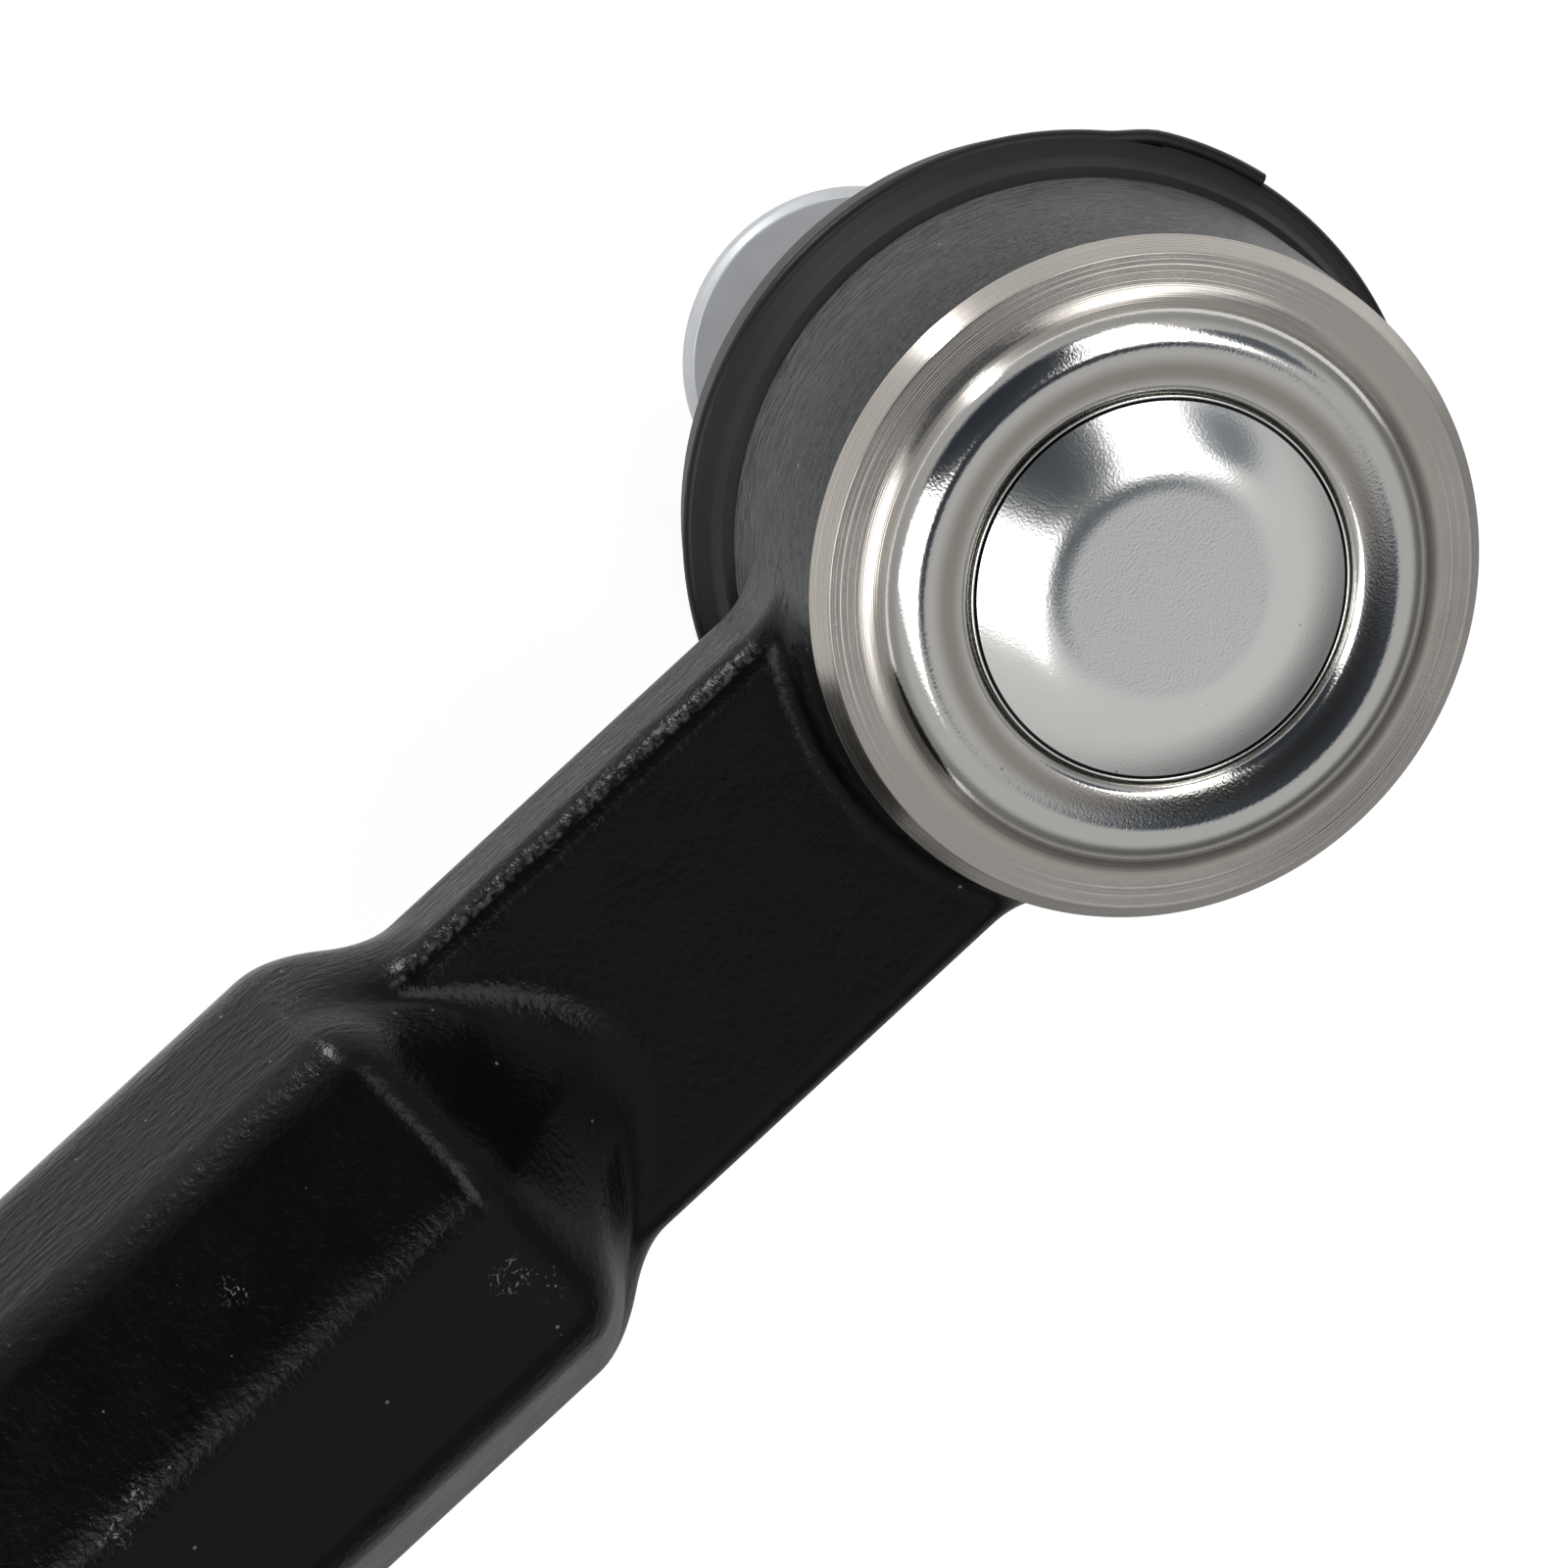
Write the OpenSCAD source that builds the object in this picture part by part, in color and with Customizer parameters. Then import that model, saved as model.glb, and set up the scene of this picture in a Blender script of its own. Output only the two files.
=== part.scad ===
// Outer ball joint end of a steering tie rod.
// The origin is the centre of the ball. +Z points out through the cover, and the stud hangs along -Z.
// The shank runs along -X, and takes the threaded tie rod at its far end.

/* [Ball and stud] */
// Radius of the ball
ball_r = 11.5; // [11:0.1:12]
// Radius of the flat on top of the ball, which leaves room for grease
ball_flat_r = 7.5; // [7:0.1:8]
// Radius of the stud's waist, just under the ball
waist_r = 6.6; // [5.5:0.1:7]
// How far the stud swings each way from straight, in degrees
swing = 25; // [18:1:28]
// Radius of the plain land that the boot's neck turns on
land_r = 7.3; // [6.8:0.1:7.8]
// Distance from the ball's centre down to the top of the land
land_top = 18.5; // [18:0.5:20]
// Length of the land
land_len = 7; // [6.5:0.5:9]
// Length of the tapered seat for the steering arm
taper_len = 19.5; // [16:0.5:22]
// Length over which the taper loses one millimetre of diameter
taper_rate = 10; // [8:1:14]
// Radius of the stud's thread, over its crests
stud_thread_r = 4.95; // [4.45:0.05:5.95]
// Length of the stud's thread
stud_thread_len = 14; // [13:0.5:18]
// Width across the flats of the key socket in the stud's end
socket_af = 4; // [3:0.5:5]
// Depth of the key socket
socket_depth = 4; // [2:0.5:6]

/* [Seats and spring] */
// Wall of the plastic seats at the ball's equator
seat_wall = 2.5; // [2:0.1:2.8]
// Running clearance between the ball and its seats
ball_gap = 0.05; // [0.02:0.01:0.1]
// Clearance between pieces that are pushed into each other
fit_gap = 0.05; // [0.02:0.01:0.1]
// Gap between the two seats at the equator
seat_split = 0.4; // [0.2:0.1:1]
// Width of the grease grooves in the pressure seat
groove_w = 1.6; // [1:0.2:2.4]
// Number of grease grooves
groove_count = 6; // [3:1:8]
// Thickness of the disc spring
spring_t = 0.4; // [0.3:0.05:0.6]
// Free space for the spring between the pressure seat and the cover
spring_room = 0.9; // [0.8:0.05:1.2]

/* [Cover] */
// Thickness of the cover plate
plate_t = 1.2; // [0.8:0.1:1.5]
// Width of the shelf in the cup that carries the cover plate
shelf_w = 0.75; // [0.6:0.05:1]
// How far the ball's pole stands above that shelf
pole_over_shelf = 2.1; // [1.8:0.1:2.4]
// Radius at which the raised centre of the cover begins
dome_r = 11.25; // [10:0.05:11.4]
// Radius of the flat on the raised centre
dome_flat_r = 5.8; // [4:0.1:7]
// Height of the short wall round the raised centre
dome_wall_h = 0.65; // [0.5:0.05:1]
// Radius of the bend from the flat into the slope of the raised centre
dome_bend_r = 8.6; // [5:0.2:10]
// Slope of the raised centre, in degrees
dome_slope = 20; // [15:1:22]

/* [Housing cup] */
// Wall of the cup outside the seats
cup_wall = 5.9; // [5.6:0.1:6.5]
// How much the forged side grows from the turned face down to the boot groove
cup_draft = 0.5; // [0.2:0.1:0.8]
// Radial width of the turned chamfer
chamfer_w = 0.85; // [0.6:0.05:1.1]
// Height of the turned chamfer
chamfer_h = 1.25; // [0.9:0.05:1.6]
// Radial width of the flat turned ring
ring_w = 1.65; // [1.4:0.05:1.8]
// How far the turned ring lies under the top of the cover plate's edge
ring_drop = 0.85; // [0.7:0.05:1]
// Radius of the cove where the lip's outside meets the turned ring
lip_cove_r = 1.45; // [1.2:0.05:1.6]
// Steepest slope of the lip's outside, where it runs into the cove, in degrees
lip_foot_slope = 55; // [50:1:58]
// Slope of the lip's outside at its crest, in degrees
lip_crest_slope = 14; // [10:1:18]
// Distance from the lip's inner edge out to its crest
lip_crest_w = 2.4; // [2.2:0.05:2.6]
// Slope of the lip's inside, down towards the cover, in degrees
lip_in_slope = 20; // [16:1:22]
// Radius of the lip's inner edge
lip_edge_r = 0.8; // [0.6:0.05:0.9]
// Gap between the lip's inner edge and the raised centre of the cover
lip_gap = 0.35; // [0.3:0.05:0.6]
// Height of the cup's floor, from the seat to the lower face
floor_t = 8.05; // [7.65:0.05:9]
// Width of the groove for the boot's bead
boot_groove_w = 5; // [4.6:0.1:5.4]
// Depth of that groove, from the cup's side
boot_groove_d = 2.2; // [1.6:0.1:2.6]
// Thickness of the flange under the groove
foot_t = 1.9; // [1.6:0.1:2.1]
// How far that flange stays inside the cup's side
foot_set = 0.9; // [0.4:0.1:1.2]

/* [Web and shank] */
// Width of the flat web between the cup and the shank
web_w = 23.4; // [21:0.2:25]
// Thickness of the web
web_t = 8; // [7:0.25:9]
// Radius on the web's long edges
web_edge_r = 2; // [1.5:0.1:3]
// Radius of the fillets where the web's sides meet the cup
web_fillet_r = 6; // [4:0.5:8]
// Radius of the fillets where the web's faces meet the cup
root_fillet_r = 1.6; // [1:0.1:2]
// Width across the flats of the eight-sided shank
shank_af = 29.7; // [27:0.1:31]
// Radius over the shank's rounded corners
shank_corner_r = 15.6; // [15.5:0.05:15.9]
// Roll of the shank's flats about its own axis, in degrees
shank_roll = 13; // [0:1:22]
// Distance from the ball's centre to the start of the full shank
shank_start = 53.5; // [50:0.5:58]
// Distance from the ball's centre to the shank's end face
shank_end = 112; // [95:1:130]
// Length of the slope from the web up to the shank's top flat
ramp_len = 15; // [12:0.5:18]
// How much later that slope starts along the web's sides than along its middle
ramp_side_lag = 6.1; // [4:0.1:8]
// How much later still it starts along the web's edges
ramp_edge_lag = 3.4; // [0:0.1:5]
// How much later it ends along the web's sides
ramp_end_lag = 2.2; // [0:0.1:4]
// Chamfer on the shank's end
end_chamfer = 1.2; // [0.6:0.1:2]
// Radius of the tapped bore, over the thread's crests
bore_r = 9.19; // [8:0.01:10]
// Depth of the tapped bore
bore_depth = 50; // [30:1:55]
// Depth of the countersink at the bore's mouth
mouth_chamfer = 1.2; // [0.6:0.1:2]

/* [Boot and rings] */
// How far the boot's bead stands out of the cup's side
bead_out = 1.9; // [1.4:0.1:2.2]
// Wall of the boot
boot_wall = 1.5; // [1.2:0.1:1.8]
// Radius of the wire of the large ring
ring_wire_r = 0.55; // [0.4:0.05:0.6]
// How far the large ring stands out of the bead
ring_proud = 0.3; // [0.1:0.05:0.4]
// Length of the large ring's overlap, in degrees
overlap_len = 17; // [10:1:30]
// Where the overlap lies round the cup, in degrees from +X
overlap_at = 15; // [0:1:120]
// Distance from the ball's centre down to the boot's neck ring
neck_ring_drop = 22.6; // [22.2:0.1:23]
// Height of the boot's neck
boot_neck_h = 5; // [4.4:0.2:5.4]
// Wall of the boot's neck
boot_neck_wall = 2.6; // [2.2:0.1:3]
// Radius of the wire of the neck ring
neck_wire_r = 0.7; // [0.5:0.05:0.9]

/* [Nut] */
// Distance along the stud from the taper's small end to the nut's bearing face
nut_start = 8.6; // [7:0.1:11]
// Radius of the nut's flange
flange_r = 11; // [10.5:0.1:12.5]
// Thickness of the flange at its rim
flange_t = 1.6; // [1.2:0.1:2]
// Width across the nut's flats
nut_af = 14; // [13.5:0.5:17]
// Height of the whole nut
nut_h = 10.5; // [9.5:0.5:13]
// Height of the thin collar that holds the locking ring
collar_h = 2.4; // [2:0.1:3.2]
// Height of the locking ring
insert_h = 1.8; // [1.2:0.1:2]
// Wall of the collar
collar_wall = 0.8; // [0.6:0.05:1.2]
// Radial gap between the nut's bore and the stud's thread
nut_gap = 0.05; // [0.03:0.01:0.1]

/* [Hidden] */
$fn = 96;
// Tiny overlap that makes cuts and unions clean
eps = 0.02;
// Rubber keeps this far from the pieces that it doesn't grip
rubber_gap = 0.3;

// The corner where the waist meets the ball, at full swing, sets the mouth of the cup
corner_angle = asin(waist_r / ball_r) + swing;
floor_z = -ball_r * cos(corner_angle) + 0.3;
throat_r = ball_r * sin(corner_angle) + 0.8;
base_z = floor_z - floor_t;
mouth_r = throat_r + floor_t * tan(swing + 4);
socket_r = ball_r + ball_gap;
seat_r = socket_r + seat_wall;
cavity_r = seat_r + fit_gap;
shelf_z = ball_r - pole_over_shelf;
plate_r = cavity_r + shelf_w;
face_r = cavity_r + cup_wall;
cup_r = face_r + cup_draft;
plate_top = shelf_z + plate_t;
face_z = plate_top - ring_drop;
rim_z = face_z - chamfer_h;
groove_floor_r = cup_r - boot_groove_d;
groove_low_z = base_z + foot_t;
groove_top_z = groove_low_z + boot_groove_w;
lip_in_r = dome_r + lip_gap;
lip_out_r = face_r - chamfer_w - ring_w;
lip_crest_r = lip_in_r + lip_crest_w;
lip_foot_r = lip_out_r - lip_cove_r * sin(lip_foot_slope);
lip_foot_z = face_z + lip_cove_r * (1 - cos(lip_foot_slope));
lip_round_r = (lip_foot_r - lip_crest_r) / (sin(lip_foot_slope) - sin(lip_crest_slope));
crest_z = lip_foot_z + lip_round_r * (cos(lip_crest_slope) - cos(lip_foot_slope));
dome_bend_w = dome_bend_r * sin(dome_slope);
dome_bend_h = dome_bend_r * (1 - cos(dome_slope));
dome_top = plate_top + dome_wall_h + dome_bend_h + (dome_r - dome_flat_r - dome_bend_w) * tan(dome_slope);
pressure_top = shelf_z - spring_room;
taper_top = land_top + land_len;
taper_small_r = land_r - 0.1 - taper_len / taper_rate / 2;
thread_top = taper_top + taper_len;
stud_end = thread_top + 1 + stud_thread_len;
nut_drop = thread_top + nut_start;
bead_r = cup_r + bead_out;
ring_z = (groove_low_z + groove_top_z) / 2 - 0.4;
ring_mid_r = bead_r + ring_proud - ring_wire_r;
boot_neck_r = land_r + rubber_gap + boot_neck_wall;
neck_ring_mid_r = boot_neck_r + neck_wire_r / 3;
boot_neck_top = neck_ring_drop - boot_neck_h / 2;
insert_out_r = nut_af / 2 - collar_wall - 0.3;

// Quarter section of a concave fillet: a square corner at the origin less a round of radius r
module cove(r) {
    difference() {
        square(r);
        translate([r, r]) circle(r);
    }
}

// Points along an arc about [x, z], from slope a to slope b, with the surface's slope measured from level
function arc(x, z, r, a, b, steps) =
    [for (i = [0:steps]) let (t = a + (b - a) * i / steps) [x + r * sin(t), z + r * cos(t)]];

// Section of the rolled lip: round inner edge, slope up to the crest, round outside and a cove down to the flat ring
module lip_section() {
    round_x = lip_crest_r - lip_round_r * sin(lip_crest_slope);
    round_z = crest_z - lip_round_r * cos(lip_crest_slope);
    edge_x = lip_in_r + lip_edge_r;
    edge_low = asin(min(1, (plate_top + eps - edge_z()) / lip_edge_r));
    polygon(concat(
        arc(edge_x, edge_z(), lip_edge_r, edge_low - 90, -lip_in_slope, 8),
        arc(round_x, round_z, lip_round_r, lip_crest_slope, lip_foot_slope, 8),
        arc(lip_out_r, face_z + lip_cove_r, -lip_cove_r, lip_foot_slope, 0, 6),
        [[lip_out_r, face_z - 0.5], [plate_r + fit_gap, face_z - 0.5], [plate_r + fit_gap, plate_top + eps]]));
}

// Height of the centre of the lip's inner edge, which its slope from the crest gives
function edge_z() =
    crest_z - (lip_crest_w - lip_edge_r * (1 - sin(lip_in_slope))) * tan(lip_in_slope)
    - lip_edge_r * cos(lip_in_slope);

// Turned and forged body of the cup, as a solid of revolution with its cavity already open
module cup() {
    rotate_extrude() union() {
        difference() {
            polygon([[0, base_z], [cup_r - foot_set - 0.4, base_z], [cup_r - foot_set, base_z + 0.4],
                     [cup_r - foot_set, groove_low_z], [groove_floor_r, groove_low_z],
                     [groove_floor_r, groove_top_z], [cup_r - 0.3, groove_top_z], [cup_r, groove_top_z + 0.4],
                     [face_r, rim_z], [face_r - chamfer_w, face_z], [0, face_z]]);
            cavity_section();
        }
        lip_section();
    }
}

// Section of everything that is machined out of the cup
module cavity_section() {
    polygon([[0, base_z - 1], [mouth_r + tan(swing + 4), base_z - 1], [throat_r, floor_z],
             [cavity_r, floor_z], [cavity_r, shelf_z], [plate_r + fit_gap, shelf_z],
             [plate_r + fit_gap, face_z + 5], [0, face_z + 5]]);
}

// Distance from the axis to the edge of a rounded rectangle, in the direction a
function plate_edge(a, hw, ht, r) =
    let (c = abs(cos(a)), s = abs(sin(a)),
         flat = min(c > 0.001 ? hw / c : 1e3, s > 0.001 ? ht / s : 1e3),
         cx = hw - r, cy = ht - r,
         in_corner = flat * c > cx && flat * s > cy,
         d = c * cx + s * cy)
    in_corner ? d + sqrt(max(0, d * d - cx * cx - cy * cy + r * r)) : flat;

// The same for the rolled octagon, whose corners are rounded off by a circle
function octagon_edge(a) =
    let (turn = a - 90 - shank_roll,
         off = turn - 45 * round(turn / 45))
    min(shank_af / 2 / cos(off), shank_corner_r);

// Slope from the web up to the shank: hollow up to the knee, then a round shoulder
function ramp(u, knee) =
    u <= 0 ? 0 : u >= 1 ? 1 : u < knee ? u * u / knee : 1 - (1 - u) * (1 - u) / (1 - knee);

// Half width of the web at x, which flares into the cup through a fillet on each side
fillet_x = sqrt(pow(cup_r + web_fillet_r - 0.2, 2) - pow(web_w / 2 + web_fillet_r, 2));
tangent_x = fillet_x * cup_r / (cup_r + web_fillet_r);
function web_half(x) =
    x >= fillet_x ? web_w / 2
    : web_w / 2 + web_fillet_r - sqrt(pow(web_fillet_r, 2) - pow(fillet_x - max(x, tangent_x), 2));

// Radius of the forging at distance x from the ball's centre, in the direction a round the shank's axis
function forging_r(x, a) =
    let (thin = plate_edge(a, web_half(x), web_t / 2, web_edge_r),
         side = pow(thin * cos(a) / web_half(x), 2),
         edge = side * pow(thin * sin(a) * 2 / web_t, 2),
         from = shank_start - ramp_len + ramp_side_lag * side + ramp_edge_lag * edge,
         to = shank_start + ramp_end_lag * side,
         k = ramp((x - from) / (to - from), 0.74 - 0.24 * side),
         end_cut = max(0, x - shank_end + end_chamfer))
    thin + k * (octagon_edge(a) - thin) - (k == 1 ? end_cut : 0);

// Web and shank, lofted through sections along the shank's axis
module web_and_shank() {
    n = 72;
    fillet_steps = 5;
    ramp_steps = 16;
    ramp_from = shank_start - ramp_len;
    ramp_to = shank_start + ramp_end_lag + 0.1;
    xs = concat([cavity_r - 3],
                [for (i = [0:fillet_steps]) tangent_x + (fillet_x - tangent_x) * i / fillet_steps],
                [for (i = [0:ramp_steps]) ramp_from + (ramp_to - ramp_from) * i / ramp_steps],
                [shank_end - end_chamfer, shank_end]);
    rings = [for (x = xs) [for (i = [0:n - 1])
        let (a = 360 * i / n, r = forging_r(x, a)) [-x, r * cos(a), r * sin(a)]]];
    m = len(xs);
    points = concat([for (ring = rings) each ring], [[-xs[0], 0, 0], [-xs[m - 1], 0, 0]]);
    sides = [for (j = [0:m - 2], i = [0:n - 1])
        let (k = (i + 1) % n) [j * n + i, j * n + k, (j + 1) * n + k, (j + 1) * n + i]];
    start_cap = [for (i = [0:n - 1]) [m * n, (i + 1) % n, i]];
    end_cap = [for (i = [0:n - 1]) [m * n + 1, (m - 1) * n + i, (m - 1) * n + (i + 1) % n]];
    polyhedron(points, concat(sides, start_cap, end_cap), convexity = 4);
}

// Cove that runs round the cup's side on the web's upper and lower face
module root_fillets() {
    intersection() {
        rotate_extrude() for (side = [0, 1]) mirror([0, side])
            translate([face_r - 0.2, web_t / 2 - eps]) union() {
                square([0.5, root_fillet_r]);
                translate([0.4, 0]) cove(root_fillet_r);
            }
        translate([-face_r - 6, -web_w / 2 + web_edge_r, -web_t])
            cube([face_r + 6, web_w - 2 * web_edge_r, 2 * web_t]);
    }
}

module housing() color([0.1, 0.1, 0.11]) {
    difference() {
        union() {
            cup();
            difference() {
                union() {
                    web_and_shank();
                    root_fillets();
                }
                rotate_extrude() cavity_section();
            }
        }
        translate([-shank_end - 1, 0, 0]) rotate([0, 90, 0]) cylinder(r = bore_r, h = bore_depth + 1);
        translate([-shank_end + bore_depth - eps, 0, 0]) rotate([0, 90, 0])
            cylinder(r1 = bore_r, r2 = 0, h = bore_r * tan(31));
        translate([-shank_end - eps, 0, 0]) rotate([0, 90, 0])
            cylinder(r1 = bore_r + mouth_chamfer, r2 = bore_r, h = mouth_chamfer);
    }
}

module cover_plate() color([0.72, 0.72, 0.71]) {
    in_r = dome_r - plate_t;
    rotate_extrude() polygon(concat(
        [[0, dome_top]],
        arc(dome_flat_r, dome_top - dome_bend_r, dome_bend_r, 0, dome_slope, 5),
        [[dome_r, plate_top + dome_wall_h], [dome_r, plate_top], [plate_r, plate_top], [plate_r, shelf_z],
         [in_r, shelf_z], [in_r, shelf_z + dome_wall_h], [dome_flat_r - 0.2, dome_top - plate_t],
         [0, dome_top - plate_t]]));
}

module disc_spring() color([0.35, 0.36, 0.38]) {
    in_r = socket_r * cos(asin(pressure_top / socket_r)) + 0.9;
    out_r = cavity_r - 0.4;
    rotate_extrude() polygon([[in_r, pressure_top + eps], [in_r, pressure_top + eps + spring_t],
                              [out_r, shelf_z - eps], [out_r, shelf_z - eps - spring_t]]);
}

module pressure_seat() color([0.9, 0.88, 0.8]) {
    difference() {
        translate([0, 0, seat_split / 2]) cylinder(r = seat_r, h = pressure_top - seat_split / 2);
        sphere(r = socket_r);
        for (i = [0:groove_count - 1]) rotate([0, 0, 360 * i / groove_count])
            translate([0, -groove_w / 2, seat_split / 2 - 1])
                cube([socket_r + 0.6, groove_w, pressure_top * 0.75]);
    }
}

module lower_seat() color([0.9, 0.88, 0.8]) {
    difference() {
        translate([0, 0, floor_z + eps]) cylinder(r = seat_r, h = -floor_z - seat_split / 2);
        sphere(r = socket_r);
    }
}

module ball_stud() color([0.55, 0.56, 0.58]) {
    flat_z = sqrt(ball_r * ball_r - ball_flat_r * ball_flat_r);
    difference() {
        union() {
            intersection() {
                sphere(r = ball_r);
                translate([0, 0, -ball_r - 1]) cylinder(r = ball_r + 1, h = ball_r + 1 + flat_z);
            }
            rotate_extrude() polygon([
                [0, 0], [waist_r, 0], [waist_r, -land_top + 2.5], [land_r, -land_top],
                [land_r, -taper_top], [land_r - 0.1, -taper_top], [taper_small_r, -thread_top],
                [stud_thread_r - 0.6, -thread_top], [stud_thread_r - 0.6, -thread_top - 1],
                [stud_thread_r, -thread_top - 1], [stud_thread_r, -stud_end + 0.8],
                [stud_thread_r - 0.8, -stud_end], [0, -stud_end]]);
        }
        translate([0, 0, -stud_end - 1]) cylinder(d = socket_af / cos(30), h = socket_depth + 1, $fn = 6);
    }
}

// Outline of the boot's rubber: bead in the cup's groove, one round fold, and a neck round the stud's land
module dust_boot() color([0.06, 0.06, 0.07]) {
    bead_in = groove_floor_r + fit_gap;
    bead_top = groove_top_z - fit_gap;
    bead_low = groove_low_z + fit_gap;
    neck_in = land_r + rubber_gap;
    waist_z = base_z - 2.5;
    fold_out = cup_r - 0.4;
    rotate_extrude() difference() {
        union() {
            polygon([[bead_in, bead_top], [cup_r - 0.2, bead_top], [cup_r + 0.5, bead_top - 0.3],
                     [bead_r - 0.4, bead_top - 1.6], [bead_r, bead_top - 2.2], [bead_r - 0.1, bead_low + 0.4],
                     [bead_r - 0.8, base_z - 0.6], [fold_out, waist_z - 1.6], [fold_out - 3.4, waist_z - 4.6],
                     [boot_neck_r + 1.4, -boot_neck_top - 0.4], [boot_neck_r, -boot_neck_top - 1],
                     [boot_neck_r, -boot_neck_top - boot_neck_h], [neck_in, -boot_neck_top - boot_neck_h],
                     [neck_in, -boot_neck_top - 0.5], [neck_in + 1.6, -boot_neck_top + boot_wall - 0.4],
                     [fold_out - 4.4, waist_z - 4.2 + boot_wall], [fold_out - boot_wall, waist_z - 1],
                     [cup_r - foot_set + rubber_gap, base_z + 0.2],
                     [cup_r - foot_set + rubber_gap, bead_low], [bead_in, bead_low]]);
        }
        translate([ring_mid_r, ring_z]) circle(ring_wire_r + fit_gap);
        translate([neck_ring_mid_r, -neck_ring_drop]) circle(neck_wire_r + rubber_gap / 2);
    }
}

module boot_ring_large() color([0.09, 0.09, 0.1]) {
    rotate_extrude() translate([ring_mid_r, ring_z]) circle(ring_wire_r, $fn = 32);
    rotate([0, 0, overlap_at]) rotate_extrude(angle = overlap_len)
        translate([ring_mid_r + ring_wire_r * 0.8, ring_z]) circle(ring_wire_r * 0.8, $fn = 32);
}

module boot_ring_small() color([0.09, 0.09, 0.1]) {
    rotate_extrude() translate([neck_ring_mid_r, -neck_ring_drop]) circle(neck_wire_r, $fn = 32);
}

module flange_nut() color([0.66, 0.67, 0.68]) {
    hex_r = nut_af / 2 / cos(30);
    low_z = -nut_drop - nut_h;
    difference() {
        union() {
            rotate_extrude() polygon([[0, -nut_drop], [flange_r - 0.3, -nut_drop], [flange_r, -nut_drop - 0.3],
                                      [flange_r, -nut_drop - flange_t], [hex_r - 0.6, -nut_drop - flange_t - 1.4],
                                      [0, -nut_drop - flange_t - 1.4]]);
            intersection() {
                translate([0, 0, low_z + collar_h])
                    cylinder(r = hex_r, h = nut_h - collar_h - flange_t, $fn = 6);
                translate([0, 0, low_z + collar_h])
                    cylinder(r1 = nut_af / 2, r2 = nut_af / 2 + nut_h, h = nut_h);
            }
            translate([0, 0, low_z]) cylinder(r = insert_out_r + collar_wall, h = collar_h + 1);
        }
        translate([0, 0, low_z - 1]) cylinder(r = stud_thread_r + nut_gap, h = nut_h + 2);
        translate([0, 0, low_z + collar_h - insert_h - 0.4]) cylinder(r = insert_out_r, h = insert_h + 0.4);
        translate([0, 0, -nut_drop - 0.6]) cylinder(r1 = stud_thread_r, r2 = stud_thread_r + 0.7, h = 0.7);
    }
}

module nut_insert() color([0.85, 0.85, 0.82]) {
    top_z = -nut_drop - nut_h + collar_h - fit_gap;
    translate([0, 0, top_z - insert_h]) difference() {
        cylinder(r = insert_out_r - fit_gap, h = insert_h);
        translate([0, 0, -1]) cylinder(r = stud_thread_r - 0.4, h = insert_h + 2);
    }
}

housing();
cover_plate();
disc_spring();
pressure_seat();
lower_seat();
ball_stud();
dust_boot();
boot_ring_large();
boot_ring_small();
flange_nut();
nut_insert();
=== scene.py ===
import math

import bmesh
import bpy
import numpy as np
from mathutils import Matrix, Vector


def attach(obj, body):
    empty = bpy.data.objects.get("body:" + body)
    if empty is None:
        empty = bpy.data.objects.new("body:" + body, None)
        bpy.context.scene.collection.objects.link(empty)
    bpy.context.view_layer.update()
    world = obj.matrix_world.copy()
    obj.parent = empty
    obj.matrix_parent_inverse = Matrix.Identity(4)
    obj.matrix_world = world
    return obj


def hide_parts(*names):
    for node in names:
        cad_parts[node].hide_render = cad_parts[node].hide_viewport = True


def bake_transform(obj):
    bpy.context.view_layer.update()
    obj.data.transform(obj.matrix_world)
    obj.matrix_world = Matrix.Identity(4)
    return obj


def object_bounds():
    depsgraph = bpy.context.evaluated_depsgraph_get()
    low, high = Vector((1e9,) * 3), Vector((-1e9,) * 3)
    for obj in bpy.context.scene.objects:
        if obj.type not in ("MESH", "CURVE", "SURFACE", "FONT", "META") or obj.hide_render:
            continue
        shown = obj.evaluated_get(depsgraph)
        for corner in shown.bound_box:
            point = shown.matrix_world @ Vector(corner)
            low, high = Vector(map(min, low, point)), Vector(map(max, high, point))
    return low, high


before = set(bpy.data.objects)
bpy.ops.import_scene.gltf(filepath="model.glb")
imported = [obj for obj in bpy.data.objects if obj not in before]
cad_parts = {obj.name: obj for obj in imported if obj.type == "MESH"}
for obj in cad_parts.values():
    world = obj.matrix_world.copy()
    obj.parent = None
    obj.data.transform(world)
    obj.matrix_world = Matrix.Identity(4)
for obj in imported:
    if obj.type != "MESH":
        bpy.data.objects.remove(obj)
cad_low, cad_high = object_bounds()
MM = 0.001

# Camera
# The photograph is a long-lens view onto the cup's face. The face leans 21 degrees towards the lower right of
# the picture, and the shank runs out of its lower left corner.
PICTURE = 1600.0
LENS = 225.0
SENSOR = 36.0
FACE_LEAN = 20.94
FACE_LEAN_TOWARDS = -42.69
SHANK_TOWARDS = -137.31
RIM_PIXEL = (1170.6, 590.2)
RIM_HEIGHT = 8.5
RIM_DISTANCE = 559.0
CLIP_START, CLIP_END = 0.05, 20


def cos_sin(degrees):
    return math.cos(math.radians(degrees)), math.sin(math.radians(degrees))


def new_object(name, data):
    """An object in the scene that shows a mesh, a lamp or a camera."""
    made = bpy.data.objects.new(name, data)
    bpy.context.scene.collection.objects.link(made)
    return made


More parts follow.
